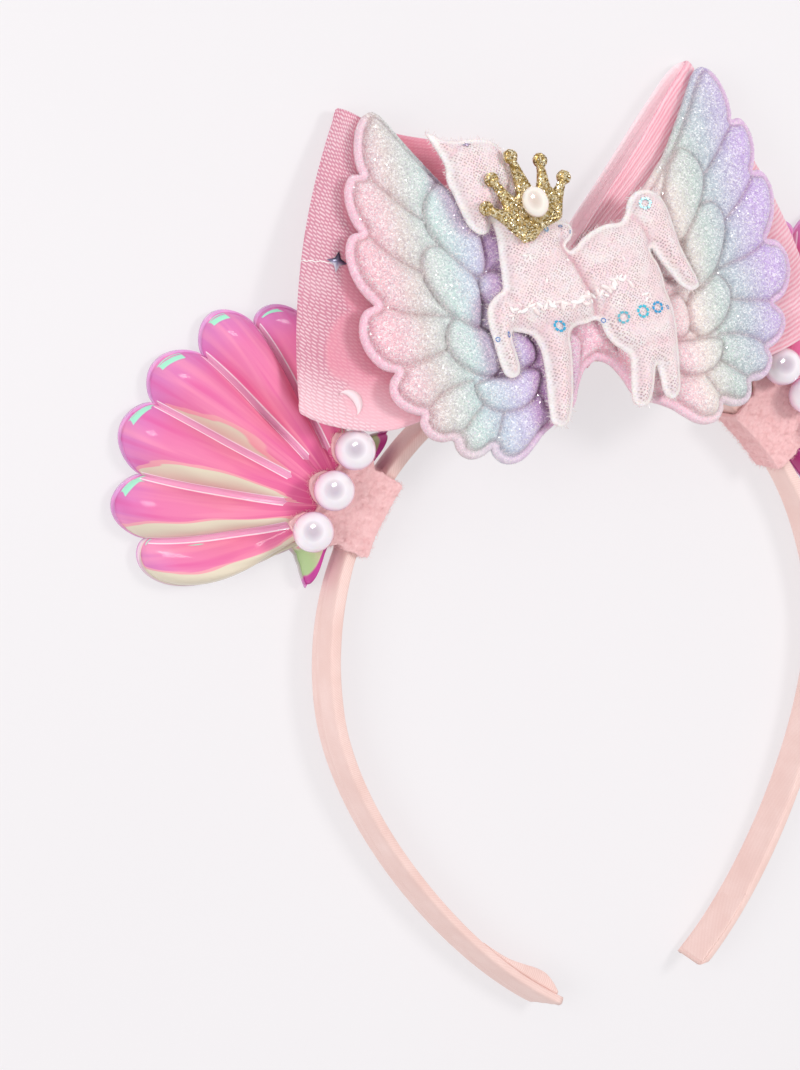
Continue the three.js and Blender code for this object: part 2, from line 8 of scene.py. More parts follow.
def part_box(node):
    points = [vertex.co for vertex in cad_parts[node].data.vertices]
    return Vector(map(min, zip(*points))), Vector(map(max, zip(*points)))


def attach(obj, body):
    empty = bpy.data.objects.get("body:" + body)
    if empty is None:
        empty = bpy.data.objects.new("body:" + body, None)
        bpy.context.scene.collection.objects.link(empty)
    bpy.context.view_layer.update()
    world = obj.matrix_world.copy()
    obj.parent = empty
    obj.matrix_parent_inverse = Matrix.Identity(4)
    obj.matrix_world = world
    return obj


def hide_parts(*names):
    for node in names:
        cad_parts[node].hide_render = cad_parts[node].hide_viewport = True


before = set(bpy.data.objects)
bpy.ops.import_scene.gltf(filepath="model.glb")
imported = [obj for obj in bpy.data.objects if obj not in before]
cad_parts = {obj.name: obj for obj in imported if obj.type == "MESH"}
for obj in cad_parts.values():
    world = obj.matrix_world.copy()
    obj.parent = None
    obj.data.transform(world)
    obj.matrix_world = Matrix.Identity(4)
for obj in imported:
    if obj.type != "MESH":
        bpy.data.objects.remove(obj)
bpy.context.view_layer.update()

mm = 0.001
bandCrest = 69.0  # height of the band's outer face above its widest place
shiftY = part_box("headband")[1].y - bandCrest * mm  # from the pattern's millimetres to the shared frame


def paint(hexColour):
    parts = [int(hexColour[k:k + 2], 16) / 255 for k in (1, 3, 5)]
    return tuple(p / 12.92 if p <= 0.04045 else ((p + 0.055) / 1.055) ** 2.4 for p in parts) + (1.0,)


# Adds a node: lower-case settings are its options, the others its sockets; links join sockets to nodes
def addNode(tree, kind, settings=None, links=None):
    made = tree.nodes.new(kind)
    for key, value in (settings or {}).items():
        if key == "stops":
            elements = made.color_ramp.elements
            elements.remove(elements[1])
            elements[0].position, elements[0].color = value[0]
            for place, shade in value[1:]:
                elements.new(place).color = shade
        elif isinstance(key, str) and key[0].islower():
            setattr(made, key, value)
        else:
            made.inputs[key].default_value = value
    for key, source in (links or {}).items():
        if isinstance(source, tuple):
            source = source[0].outputs[source[1]]
        elif isinstance(source, bpy.types.Node):
            source = source.outputs[0]
        tree.links.new(source, made.inputs[key])
    return made


def newMaterial(name, settings):
    material = bpy.data.materials.new(name)
    material.use_nodes = True
    tree = material.node_tree
    tree.nodes.clear()
    shader = addNode(tree, "ShaderNodeBsdfPrincipled", settings)
    addNode(tree, "ShaderNodeOutputMaterial", links={"Surface": shader})
    return material, tree, shader


# Joins a finished colour and relief to the shader
def dress(tree, shader, colour, relief=None):
    tree.links.new(colour, shader.inputs["Base Color"])
    if relief is not None:
        tree.links.new(relief.outputs[0], shader.inputs["Normal"])


def lerp(a, b, share):
    return a + (b - a) * share


def smoothstep(value, low, high):
    t = np.clip((value - low) / (high - low), 0, 1)
    return t * t * (3 - 2 * t)


def addObject(name, data):
    made = bpy.data.objects.new(name, data)
    bpy.context.scene.collection.objects.link(made)
    return made


# Places or normals of a mesh's vertices, a row for each
def readRows(mesh, key):
    rows = np.empty(len(mesh.vertices) * 3)
    mesh.vertices.foreach_get(key, rows)
    return rows.reshape(-1, 3)


# Cloth map in millimetres, a row for each vertex
def layCloth(mesh, cloth):
    corner = np.empty(len(mesh.loops), int)
    mesh.loops.foreach_get("vertex_index", corner)
    mesh.uv_layers.new(name="cloth").data.foreach_set("uv", np.array(cloth, np.float32)[corner].ravel())


# Length run along a line of points, up to each point
def runAlong(line):
    return np.r_[0, np.cumsum(np.linalg.norm(np.diff(line, axis=0), axis=1))]


# Points in millimetres become a piece's mesh, with its cloth map and its marks
def makePiece(name, points, faces, material, cloth=None, marks=None):
    placed = np.array(points, float) * mm
    placed[:, 1] += shiftY
    mesh = bpy.data.meshes.new(name)
    mesh.from_pydata(placed.tolist(), [], faces)
    if cloth is not None:
        layCloth(mesh, cloth)
    for key, values in (marks or {}).items():
        values = np.array(values, np.float32)
        if values.ndim == 2:
            mesh.attributes.new(key, "FLOAT_VECTOR", "POINT").data.foreach_set("vector", values.ravel())
        else:
            mesh.attributes.new(key, "FLOAT", "POINT").data.foreach_set("value", values)
    if faces:
        faceOut(mesh)
    mesh.materials.append(material)
    mesh.shade_smooth()
    return addObject(name, mesh)


# Turns faces outwards; a closed crescent can still come out inside out, which its volume tells
def faceOut(mesh):
    work = bmesh.new()
    work.from_mesh(mesh)
    bmesh.ops.recalc_face_normals(work, faces=work.faces)
    if all(edge.is_manifold for edge in work.edges) and work.calc_volume(signed=True) < 0:
        bmesh.ops.reverse_faces(work, faces=work.faces)
    work.to_mesh(mesh)
    work.free()


def settle(piece, slot, *nodes):
    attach(piece, "root")
    if nodes:
        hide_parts(*nodes)
    return piece


# A node tree with named inputs, and its close: real meshes with a material
def startTree(name, inputs):
    tree = bpy.data.node_groups.new(name, "GeometryNodeTree")
    tree.interface.new_socket("Geometry", in_out="INPUT", socket_type="NodeSocketGeometry")
    for label, (kind, value) in inputs.items():
        socket = tree.interface.new_socket(label, in_out="INPUT", socket_type="NodeSocket" + kind)
        socket.default_value = value
    tree.interface.new_socket("Geometry", in_out="OUTPUT", socket_type="NodeSocketGeometry")
    return tree, addNode(tree, "NodeGroupInput")


def closeTree(tree, last, material):
    real = addNode(tree, "GeometryNodeRealizeInstances", links={"Geometry": last})
    dressed = addNode(tree, "GeometryNodeSetMaterial", {"Material": material}, {"Geometry": real})
    addNode(tree, "NodeGroupOutput", links={0: dressed})
    return tree


# A stand turned by angles of its own
def turnOn(tree, stand, angles):
    turn = addNode(tree, "FunctionNodeEulerToRotation", links={0: angles})
    return addNode(tree, "FunctionNodeRotateRotation", {"rotation_space": "LOCAL"}, {0: stand, 1: turn})


# Runs a tree on a carrier and keeps the result as a plain mesh of its own
def grow(name, carrier, tree, values, keepCarrier=False):
    modifier = carrier.modifiers.new(tree.name, "NODES")
    modifier.node_group = tree
    for socket in tree.interface.items_tree:
        if socket.in_out == "INPUT" and socket.name in values:
            modifier[socket.identifier] = values[socket.name]
    depsgraph = bpy.context.evaluated_depsgraph_get()
    mesh = bpy.data.meshes.new_from_object(
        carrier.evaluated_get(depsgraph), preserve_all_data_layers=True, depsgraph=depsgraph)
    mesh.name = name
    carrier.modifiers.remove(modifier)
    if not keepCarrier:
        bpy.data.objects.remove(carrier)
    return addObject(name, mesh)


# Centripetal curve through rows of numbers
def smoothCurve(knots, shares):
    knots = np.array(knots, float)
    last = len(knots) - 1
    made = []
    for share in shares:
        row = share * last
        i = min(int(row), last - 1)
        t = row - i
        b, c = knots[i], knots[i + 1]
        a = knots[i - 1] if i > 0 else 2 * b - c
        d = knots[i + 2] if i + 2 <= last else 2 * c - b
        ab, bc, cd = (max(np.linalg.norm(q - p), 1e-4) ** 0.5 for p, q in ((a, b), (b, c), (c, d)))
        leave = ((b - a) / ab - (c - a) / (ab + bc) + (c - b) / bc) * bc
        arrive = ((c - b) / bc - (d - b) / (bc + cd) + (d - c) / cd) * bc
        bend = -3 * b + 3 * c - 2 * leave - arrive
        made.append(b + leave * t + bend * t * t + (2 * b - 2 * c + leave + arrive) * t ** 3)
    return np.array(made)


# Polyester satin ribbon: a close twill with a soft gloss, a little uneven where it is pulled round the band
satinLook = {"lit": "#F8DCD6", "deep": "#EAC6BE", "twill": 0.4, "cloud": 9.0}
waveRepeat = 0.444  # a diagonal wave of scale 1 repeats after this length


def makeSatin():
    material, tree, shader = newMaterial("polyester satin ribbon", {
        "Roughness": 0.46, "IOR": 1.5, "Sheen Weight": 0.25, "Sheen Roughness": 0.4,
        "Sheen Tint": paint("#FFE9E4")})
    cloth = addNode(tree, "ShaderNodeUVMap", {"uv_map": "cloth"})
    twill = addNode(tree, "ShaderNodeTexWave", {
        "bands_direction": "DIAGONAL", "Scale": waveRepeat / satinLook["twill"], "Distortion": 1.6,
        "Detail": 2.0, "Detail Scale": 3.0}, {"Vector": cloth})
    cloud = addNode(tree, "ShaderNodeTexNoise", {"Scale": 1 / satinLook["cloud"], "Detail": 3.0}, {"Vector": cloth})
    speckle = addNode(tree, "ShaderNodeMath", {"operation": "MULTIPLY_ADD", 1: 0.45}, {0: twill, 2: cloud})
    tone = addNode(tree, "ShaderNodeValToRGB", {
        "stops": [(0.32, paint(satinLook["lit"])), (0.95, paint(satinLook["deep"]))]}, {"Fac": speckle})
    bump = addNode(tree, "ShaderNodeBump", {"Strength": 0.15, "Distance": 0.05 * mm}, {"Height": twill})
    dress(tree, shader, tone.outputs[0], bump)
    return material


# Pressed wool felt: dry and matt, with matted fibres that lift off it
feltLook = {"lit": "#F9D0D0", "deep": "#EDBABC", "fibre": 0.5}


def makeFelt():
    material, tree, shader = newMaterial("pressed pink felt", {
        "Roughness": 0.95, "Specular IOR Level": 0.2, "Sheen Weight": 0.6, "Sheen Roughness": 0.6,
        "Sheen Tint": paint("#FFDCDC")})
    place = addNode(tree, "ShaderNodeTexCoord")
    fibre = addNode(tree, "ShaderNodeTexNoise", {
        "Scale": 1000 / feltLook["fibre"] / 2, "Detail": 5.0, "Roughness": 0.7, "Distortion": 1.5},
        {"Vector": (place, "Object")})
    tone = addNode(tree, "ShaderNodeValToRGB", {
        "stops": [(0.3, paint(feltLook["deep"])), (0.68, paint(feltLook["lit"]))]}, {"Fac": fibre})
    bump = addNode(tree, "ShaderNodeBump", {"Strength": 0.7, "Distance": 0.2 * mm}, {"Height": fibre})
    dress(tree, shader, tone.outputs[0], bump)
    return material


# Iridescent vinyl film over wadding: hot pink along the lobes; the beige where they face down is a painted reflection,
# the mint over each tip a painted glint, and the pale lines along the weld edges painted highlights
filmLook = {"along": [(0.12, "#D9588F"), (0.3, "#E6719F"), (0.55, "#EE86AA"), (0.84, "#E77FAE"), (1.0, "#D980BF")],
            "streak": "#FBA6BE", "deep": "#DE539B", "beigeReflection": "#E3DAC4", "peachReflection": "#F2AFB2", "weld": "#E7A3C4",
            "seam": "#FFF4FA", "rim": "#E2BBE8", "mintGlint": "#A8F2D3", "earLight": "#B7CF98", "earDark": "#C74C9C",
            "downhill": (0.45, -0.89, 0.0), "overTip": (-0.32, 0.83, 0.46), "glintHalves": (0.36, 0.13),
            "glintSoft": 0.03, "weldHalf": 0.66}


def makeFilm():
    look = filmLook
    material, tree, shader = newMaterial("iridescent vinyl film", {
        "Roughness": 0.08, "IOR": 1.5, "Specular IOR Level": 0.1, "Specular Tint": paint("#D8FFF2")})
    cloth = addNode(tree, "ShaderNodeUVMap", {"uv_map": "cloth"})
    drawn = addNode(tree, "ShaderNodeMapping", {"Scale": (5.0, 1.5, 1.0)}, {"Vector": cloth})
    streak = addNode(tree, "ShaderNodeTexNoise", {"Scale": 1.0, "Detail": 2.0, "Distortion": 0.4}, {"Vector": drawn})
    share = addNode(tree, "ShaderNodeAttribute", {"attribute_name": "share"})
    colour = addNode(tree, "ShaderNodeValToRGB", {
        "stops": [(at, paint(shade)) for at, shade in look["along"]]}, {"Fac": (share, "Fac")})
    surface = addNode(tree, "ShaderNodeNewGeometry")
    hand = addNode(tree, "ShaderNodeAttribute", {"attribute_name": "hand"})
    facing = addNode(tree, "ShaderNodeVectorMath", {"operation": "MULTIPLY"},
                     {0: (surface, "Normal"), 1: (hand, "Vector")})
    # painted reflection: beige with a peach edge on faces that turn downhill, more on the lowest lobe
    down = addNode(tree, "ShaderNodeVectorMath", {"operation": "DOT_PRODUCT", 1: look["downhill"]}, {0: facing})
    leant = addNode(tree, "ShaderNodeMath", {"operation": "MULTIPLY_ADD", 1: 0.2}, {0: streak, 2: (down, "Value")})
    flank = addNode(tree, "ShaderNodeAttribute", {"attribute_name": "flank"})
    lean = addNode(tree, "ShaderNodeMath", {"operation": "ADD"}, {0: leant, 1: (flank, "Fac")})
    # painted glint: a mint patch where the film curves over each tip
    tip = Vector(look["overTip"]).normalized()
    aside = Vector((0, 0, 1)).cross(tip).normalized()
    glint = None
    for axis, half in zip((aside, tip.cross(aside)), look["glintHalves"]):
        off = addNode(tree, "ShaderNodeVectorMath", {"operation": "DOT_PRODUCT", 1: tuple(axis)}, {0: facing})
        gap = addNode(tree, "ShaderNodeMath", {"operation": "ABSOLUTE"}, {0: (off, "Value")})
        near = addNode(tree, "ShaderNodeMapRange", {"From Min": half + look["glintSoft"], "From Max": half},
                       {"Value": gap})
        glint = near if glint is None else addNode(tree, "ShaderNodeMath", {"operation": "MULTIPLY"},
                                                   {0: glint, 1: near})
    outer = addNode(tree, "ShaderNodeMapRange", {"From Min": 0.7, "From Max": 0.72}, {"Value": (share, "Fac")})
    glint = addNode(tree, "ShaderNodeMath", {"operation": "MULTIPLY"}, {0: glint, 1: outer})
    # painted highlight: pale lines along both edges of each weld
    apart = addNode(tree, "ShaderNodeAttribute", {"attribute_name": "offWeld"})
    fromSeam = addNode(tree, "ShaderNodeMath", {"operation": "SUBTRACT", 1: look["weldHalf"]}, {0: (apart, "Fac")})
    seam = addNode(tree, "ShaderNodeMath", {"operation": "ABSOLUTE"}, {0: fromSeam})
    # each colour, what lays it on, from and to which value of that, and its strength
    layers = [("streak", streak, 0.5, 0.72, 0.6), ("deep", streak, 0.44, 0.28, 0.55), ("peachReflection", lean, 0.22, 0.24, 0.75),
              ("beigeReflection", lean, 0.32, 0.34, 0.95), ("mintGlint", glint, 0.0, 1.0, 0.95), ("earLight", "earLight", 0, 1, 1),
              ("earDark", "earDark", 0, 1, 1), ("weld", fromSeam, 0.03, -0.03, 0.9), ("rim", "rim", 0, 1, 0.5),
              ("seam", seam, 0.13, 0.05, 0.9)]
    for key, source, low, high, most in layers:
        if isinstance(source, str):
            mark = addNode(tree, "ShaderNodeAttribute", {"attribute_name": source})
            source = (mark, "Fac")
        part = addNode(tree, "ShaderNodeMapRange", {"From Min": low, "From Max": high, "To Max": most},
                       {"Value": source})
        colour = addNode(tree, "ShaderNodeMix", {"data_type": "RGBA", 7: paint(look[key])},
                         {0: part, 6: (colour, 0 if key == "streak" else 2)})
    bump = addNode(tree, "ShaderNodeBump", {"Strength": 0.1, "Distance": 0.5 * mm}, {"Height": streak})
    dress(tree, shader, colour.outputs[2], bump)
    return material


# Moulded imitation pearl: nacre lacquer over a white bead, with a painted grey-rose reflection in front and a painted
# lilac sheen at its rim
reflectionFacing = (-0.32, 0.24, 0.915)


def makePearlCoat(name, reflectionTone, body, rim):
    material, tree, shader = newMaterial(name, {
        "Roughness": 0.2, "IOR": 1.6, "Subsurface Weight": 0.1, "Subsurface Scale": 1.5 * mm,
        "Coat Weight": 1.0, "Coat IOR": 1.8, "Coat Roughness": 0.07})
    surface = addNode(tree, "ShaderNodeNewGeometry")
    front = addNode(tree, "ShaderNodeVectorMath", {"operation": "DOT_PRODUCT", 1: reflectionFacing},
                    {0: (surface, "Normal")})
    # painted reflection: grey-rose where the bead faces forward; painted sheen: lilac towards its rim
    tone = addNode(tree, "ShaderNodeValToRGB", {
        "stops": [(0.15, paint(rim)), (0.55, paint(body)), (0.84, paint(body)), (0.985, paint(reflectionTone))]},
        {"Fac": (front, "Value")})
    dress(tree, shader, tone.outputs[0])
    return material


# Knitted tulle ribbon: rows of slanted stitches catch the light over a pinker ground; drawn up it shows as pleats, with
# painted shade and light in stripes
knitLook = {"ground": "#D0869C", "stitch": "#EBC9D2", "row": 0.8, "dash": 1.1, "cloud": 11.0, "pleat": 1.0,
            "pleatShade": "#F0A5B6", "pleatLight": "#FAD3DB", "smooth": "#E996AA", "sheer": "#FCDFE4", "through": 0.14}


def makeKnit():
    material, tree, shader = newMaterial("knitted tulle ribbon", {
        "Roughness": 0.6, "IOR": 1.5, "Sheen Weight": 0.35, "Sheen Roughness": 0.4,
        "Sheen Tint": paint("#FFE3EA"), "Subsurface Weight": 0.5, "Subsurface Scale": 2 * mm,
        "Subsurface Radius": (1.0, 0.8, 0.82), "Emission Color": paint("#FFE4EC")})
    cloth = addNode(tree, "ShaderNodeUVMap", {"uv_map": "cloth"})
    wander = addNode(tree, "ShaderNodeTexNoise", {"Scale": 0.35, "Detail": 1.0}, {"Vector": cloth})
    split = addNode(tree, "ShaderNodeSeparateXYZ", links={0: cloth})
    along = addNode(tree, "ShaderNodeMath", {"operation": "MULTIPLY_ADD", 1: 2.2},
                    {0: wander, 2: (split, "X")})
    across = addNode(tree, "ShaderNodeMath", {"operation": "MULTIPLY_ADD", 1: 0.5},
                     {0: wander, 2: (split, "Y")})
    row = addNode(tree, "ShaderNodeMath", {"operation": "DIVIDE", 1: knitLook["row"]}, {0: across})
    rowShare = addNode(tree, "ShaderNodeMath", {"operation": "FRACT"}, {0: row})
    rowNumber = addNode(tree, "ShaderNodeMath", {"operation": "FLOOR"}, {0: row})
    stagger = addNode(tree, "ShaderNodeMath", {"operation": "MULTIPLY_ADD", 1: 0.03 * knitLook["dash"]},
                      {0: rowNumber, 2: along})
    dash = addNode(tree, "ShaderNodeMath", {"operation": "DIVIDE", 1: knitLook["dash"]}, {0: stagger})
    slant = addNode(tree, "ShaderNodeMath", {"operation": "FRACT"}, {0: dash})
    middle = addNode(tree, "ShaderNodeMath", {"operation": "MULTIPLY_ADD", 1: 0.5, 2: 0.25}, {0: slant})
    away = addNode(tree, "ShaderNodeMath", {"operation": "SUBTRACT"}, {0: rowShare, 1: middle})
    gap = addNode(tree, "ShaderNodeMath", {"operation": "ABSOLUTE"}, {0: away})
    thread = addNode(tree, "ShaderNodeMapRange", {
        "interpolation_type": "SMOOTHSTEP", "From Min": 0.34, "From Max": 0.1}, {"Value": gap})
    toEnd = addNode(tree, "ShaderNodeMath", {"operation": "PINGPONG", 1: 0.5}, {0: slant})
    whole = addNode(tree, "ShaderNodeMapRange", {"From Max": 0.25, "To Min": 0.15}, {"Value": toEnd})
    thread = addNode(tree, "ShaderNodeMath", {"operation": "MULTIPLY"}, {0: thread, 1: whole})
    cloud = addNode(tree, "ShaderNodeTexNoise", {"Scale": 1 / knitLook["cloud"], "Detail": 3.0}, {"Vector": cloth})
    faint = addNode(tree, "ShaderNodeMath", {"operation": "MULTIPLY", 1: 0.5}, {0: cloud})
    light = addNode(tree, "ShaderNodeMath", {"operation": "MULTIPLY_ADD", 1: 0.5}, {0: thread, 2: faint})
    tone = addNode(tree, "ShaderNodeValToRGB", {
        "stops": [(0.28, paint(knitLook["ground"])), (0.68, paint(knitLook["stitch"]))]}, {"Fac": light})
    # painted shade and light: pleats drawn as dark and pale stripes across the ribbon
    drawn = addNode(tree, "ShaderNodeMath", {"operation": "DIVIDE", 1: knitLook["pleat"]}, {0: across})
    line = addNode(tree, "ShaderNodeMath", {"operation": "PINGPONG", 1: 0.5}, {0: drawn})
    uneven = addNode(tree, "ShaderNodeMath", {"operation": "MULTIPLY_ADD", 1: 0.5}, {0: cloud, 2: line})
    pleats = addNode(tree, "ShaderNodeValToRGB", {
        "stops": [(0.3, paint(knitLook["pleatShade"])), (0.7, paint(knitLook["pleatLight"]))]}, {"Fac": uneven})
    gathered = addNode(tree, "ShaderNodeAttribute", {"attribute_name": "pleat"})
    drawnUp = addNode(tree, "ShaderNodeMix", {"data_type": "RGBA"}, {0: (gathered, "Fac"), 6: tone, 7: pleats})
    tone = drawnUp
    # smooth: painted shadow of the wing on the left loop; the second mark: painted light, paler where a single layer is
    # lit through
    for key in ("smooth", "sheer"):
        mark = addNode(tree, "ShaderNodeAttribute", {"attribute_name": key})
        tone = addNode(tree, "ShaderNodeMix", {"data_type": "RGBA", 7: paint(knitLook[key])},
                       {0: (mark, "Fac"), 6: (tone, 2)})
    # painted glow: the marked single layer gives out a faint light that stands in for light coming through it
    through = addNode(tree, "ShaderNodeMath", {"operation": "MULTIPLY", 1: knitLook["through"]}, {0: (mark, "Fac")})
    bump = addNode(tree, "ShaderNodeBump", {"Strength": 0.4, "Distance": 0.12 * mm}, {"Height": thread})
    tree.links.new(through.outputs[0], shader.inputs["Emission Strength"])
    dress(tree, shader, tone.outputs[2], bump)
    return material


# Glittered rainbow cloth: pastel bands across the wings under a crust of pale glitter
wingLook = {"bands": [(-51, "#EFAEBF"), (-47, "#EFBAC4"), (-43, "#E6C0C6"), (-39, "#D8C9C5"), (-35, "#CDD3CE"),
                      (-31, "#C2D8D4"), (-26, "#C1CDDD"), (-21.5, "#C8BEDF"), (-16, "#C6AEDD"), (-10, "#DFBBDB"),
                      (-5, "#F0BDCF"), (2, "#F4BAC8"), (17, "#F6C9D2"), (24, "#E6DBD3"), (30, "#BDCCC6"),
                      (36, "#B6C1CD"), (44, "#C7AEDF")],
            "grain": 0.27, "crease": "#DEC8CB", "shade": "#D7A2C0", "rim": "#F3C9DE", "reach": 52.0, "drift": 4.0}


def makeGlitterCloth():
    low, high, drift = -wingLook["reach"], wingLook["reach"], wingLook["drift"]
    material, tree, shader = newMaterial("glittered rainbow cloth", {
        "Roughness": 0.62, "IOR": 1.45, "Specular IOR Level": 0.35, "Sheen Weight": 0.2, "Sheen Roughness": 0.4})
    cloth = addNode(tree, "ShaderNodeUVMap", {"uv_map": "cloth"})
    wander = addNode(tree, "ShaderNodeTexNoise", {"Scale": 0.09, "Detail": 2.0}, {"Vector": cloth})
    split = addNode(tree, "ShaderNodeSeparateXYZ", links={0: cloth})
    leaning = addNode(tree, "ShaderNodeMath", {"operation": "MULTIPLY_ADD", 1: 0.03},
                      {0: (split, "Y"), 2: (split, "X")})
    drifting = addNode(tree, "ShaderNodeMath", {"operation": "MULTIPLY_ADD", 1: drift}, {0: wander, 2: leaning})
    reach = addNode(tree, "ShaderNodeMapRange", {"From Min": low + drift / 2, "From Max": high + drift / 2},
                    {"Value": drifting})
    bands = addNode(tree, "ShaderNodeValToRGB", {
        "stops": [((at - low) / (high - low), paint(shade)) for at, shade in wingLook["bands"]]}, {"Fac": reach})
    place = addNode(tree, "ShaderNodeTexCoord")
    grain = addNode(tree, "ShaderNodeTexVoronoi", {"Scale": 1000 / wingLook["grain"]}, {"Vector": (place, "Object")})
    pick = addNode(tree, "ShaderNodeSeparateColor", links={0: (grain, "Color")})
    spark = addNode(tree, "ShaderNodeMapRange", {
        "From Min": 0.45, "From Max": 0.95, "To Max": 0.6}, {"Value": (pick, "Red")})
    dotted = addNode(tree, "ShaderNodeMix", {"data_type": "RGBA", 7: paint("#FFFFFF")}, {0: spark, 6: bands})
    dull = addNode(tree, "ShaderNodeMapRange", {
        "From Min": 0.5, "From Max": 1.0, "To Max": 0.45}, {"Value": (pick, "Green")})
    shaded = addNode(tree, "ShaderNodeMix", {"data_type": "RGBA", "blend_type": "MULTIPLY", 7: paint("#B9A6C2")},
                     {0: dull, 6: (dotted, 2)})
    colour = shaded
    # crease: painted shade in the creases; rim: the sewn rim's own paler colour; shade: painted shadow of the unicorn
    for key, blend in (("crease", "MULTIPLY"), ("rim", "MIX"), ("shade", "MULTIPLY")):
        mark = addNode(tree, "ShaderNodeAttribute", {"attribute_name": key})
        colour = addNode(tree, "ShaderNodeMix", {"data_type": "RGBA", "blend_type": blend, 7: paint(wingLook[key])},
                         {0: (mark, "Fac"), 6: (colour, 2)})
    bump = addNode(tree, "ShaderNodeBump", {"Strength": 0.3, "Distance": 0.15 * mm}, {"Height": (pick, "Blue")})
    dress(tree, shader, colour.outputs[2], bump)
    return material


# Dotted tulle over white wadding: pale pink with a fine diagonal grid of rose holes, drawn coarser so that it shows
tulleLook = {"lit": "#EEE4E5", "hole": "#B4979C", "warm": "#EED7DB", "hem": "#FFFAF9", "fold": "#D3A0AC",
             "mesh": 0.58, "meshTurnDeg": 38}


def makeTulle():
    material, tree, shader = newMaterial("dotted tulle over wadding", {
        "Roughness": 0.62, "IOR": 1.45, "Sheen Weight": 0.4, "Sheen Roughness": 0.5,
        "Sheen Tint": paint("#FFEDEF"), "Subsurface Weight": 0.2, "Subsurface Scale": 1.2 * mm})
    cloth = addNode(tree, "ShaderNodeUVMap", {"uv_map": "cloth"})
    turned = addNode(tree, "ShaderNodeMapping", {
        "Rotation": (0, 0, math.radians(tulleLook["meshTurnDeg"])),
        "Scale": (1 / tulleLook["mesh"], 1 / tulleLook["mesh"], 1)}, {"Vector": cloth})
    mesh = addNode(tree, "ShaderNodeTexVoronoi", {
        "voronoi_dimensions": "2D", "Scale": 1.0, "Randomness": 0.45}, {"Vector": turned})
    hole = addNode(tree, "ShaderNodeMapRange", {
        "interpolation_type": "SMOOTHSTEP", "From Min": 0.4, "From Max": 0.16}, {"Value": (mesh, "Distance")})
    cloud = addNode(tree, "ShaderNodeTexNoise", {"Scale": 0.2, "Detail": 3.0}, {"Vector": cloth})
    ground = addNode(tree, "ShaderNodeValToRGB", {
        "stops": [(0.36, paint(tulleLook["lit"])), (0.6, paint(tulleLook["warm"]))]}, {"Fac": cloud})
    patch = addNode(tree, "ShaderNodeTexNoise", {"Scale": 0.3, "Detail": 2.0}, {"Vector": cloth})
    clear = addNode(tree, "ShaderNodeMapRange", {"From Min": 0.36, "From Max": 0.62, "To Min": 0.25, "To Max": 0.95},
                    {"Value": patch})
    depth = addNode(tree, "ShaderNodeMath", {"operation": "MULTIPLY"}, {0: hole, 1: clear})
    dotted = addNode(tree, "ShaderNodeMix", {"data_type": "RGBA", 7: paint(tulleLook["hole"])},
                     {0: depth, 6: ground})
    colour = dotted
    # fold: painted shade in the pressed lines; hem: the hem's own paler colour
    for key in ("fold", "hem"):
        mark = addNode(tree, "ShaderNodeAttribute", {"attribute_name": key})
        colour = addNode(tree, "ShaderNodeMix", {"data_type": "RGBA", 7: paint(tulleLook[key])},
                         {0: (mark, "Fac"), 6: (colour, 2)})
    sunk = addNode(tree, "ShaderNodeMath", {"operation": "MULTIPLY", 1: -1.0}, {0: hole})
    bump = addNode(tree, "ShaderNodeBump", {"Strength": 0.5, "Distance": 0.12 * mm}, {"Height": sunk})
    dress(tree, shader, colour.outputs[2], bump)
    return material


# Gold glitter sheet: coarse foil grains, each tilted its own way
goldLook = {"grain": 0.5, "dark": "#7A6030", "mid": "#CAA860", "bright": "#FDEFC4"}


def makeGold():
    material, tree, shader = newMaterial("gold glitter sheet", {"Metallic": 0.75, "Roughness": 0.34})
    place = addNode(tree, "ShaderNodeTexCoord")
    grain = addNode(tree, "ShaderNodeTexVoronoi", {"Scale": 1000 / goldLook["grain"]}, {"Vector": (place, "Object")})
    pick = addNode(tree, "ShaderNodeSeparateColor", links={0: (grain, "Color")})
    tone = addNode(tree, "ShaderNodeValToRGB", {
        "stops": [(0.05, paint(goldLook["dark"])), (0.5, paint(goldLook["mid"])),
                  (0.95, paint(goldLook["bright"]))]}, {"Fac": (pick, "Red")})
    bump = addNode(tree, "ShaderNodeBump", {"Strength": 0.8, "Distance": 0.25 * mm}, {"Height": (pick, "Green")})
    dress(tree, shader, tone.outputs[0], bump)
    return material


# Loose foil flakes and sequins: polished film, each flake with a tone of its own
def makeFoil(name, tones, metallic, roughness):
    material, tree, shader = newMaterial(name, {
        "Metallic": metallic, "Roughness": roughness, "Coat Weight": 0.4, "Coat Roughness": 0.06})
    own = addNode(tree, "ShaderNodeAttribute", {"attribute_name": "tone"})
    tone = addNode(tree, "ShaderNodeValToRGB", {
        "stops": [(k / (len(tones) - 1), paint(shade)) for k, shade in enumerate(tones)]}, {"Fac": (own, "Fac")})
    dress(tree, shader, tone.outputs[0])
    return material


satin = makeSatin()
felt = makeFelt()
film = makeFilm()
# each pearl: painted grey-rose reflection, body colour, painted lilac rim sheen
whitePearl = makePearlCoat("white imitation pearl", "#C9BAC8", "#F7F0F7", "#EBCFE8")
creamPearl = makePearlCoat("cream imitation pearl", "#DCCBC0", "#FBF3EA", "#EFD9CC")
knit = makeKnit()
glitterCloth = makeGlitterCloth()
tulle = makeTulle()
gold = makeGold()
goldFlake = makeFoil("gold foil flake", ["#7C632E", "#D9B670", "#FFFAE2"], 0.75, 0.28)
paleFlake = makeFoil("pale glitter flake", ["#FFFFFF", "#F3E6F6", "#E4F2F4", "#FFF4EC"], 0.2, 0.18)
blueSequin = makeFoil("blue sequin foil", ["#2FA3D8", "#3FC4DC", "#6FCBD0", "#4A83CC"], 0.1, 0.36)
greyFoil = makeFoil("lilac sequin foil", ["#8C7F92", "#B9A9C4", "#D9C6E2"], 0.5, 0.25)
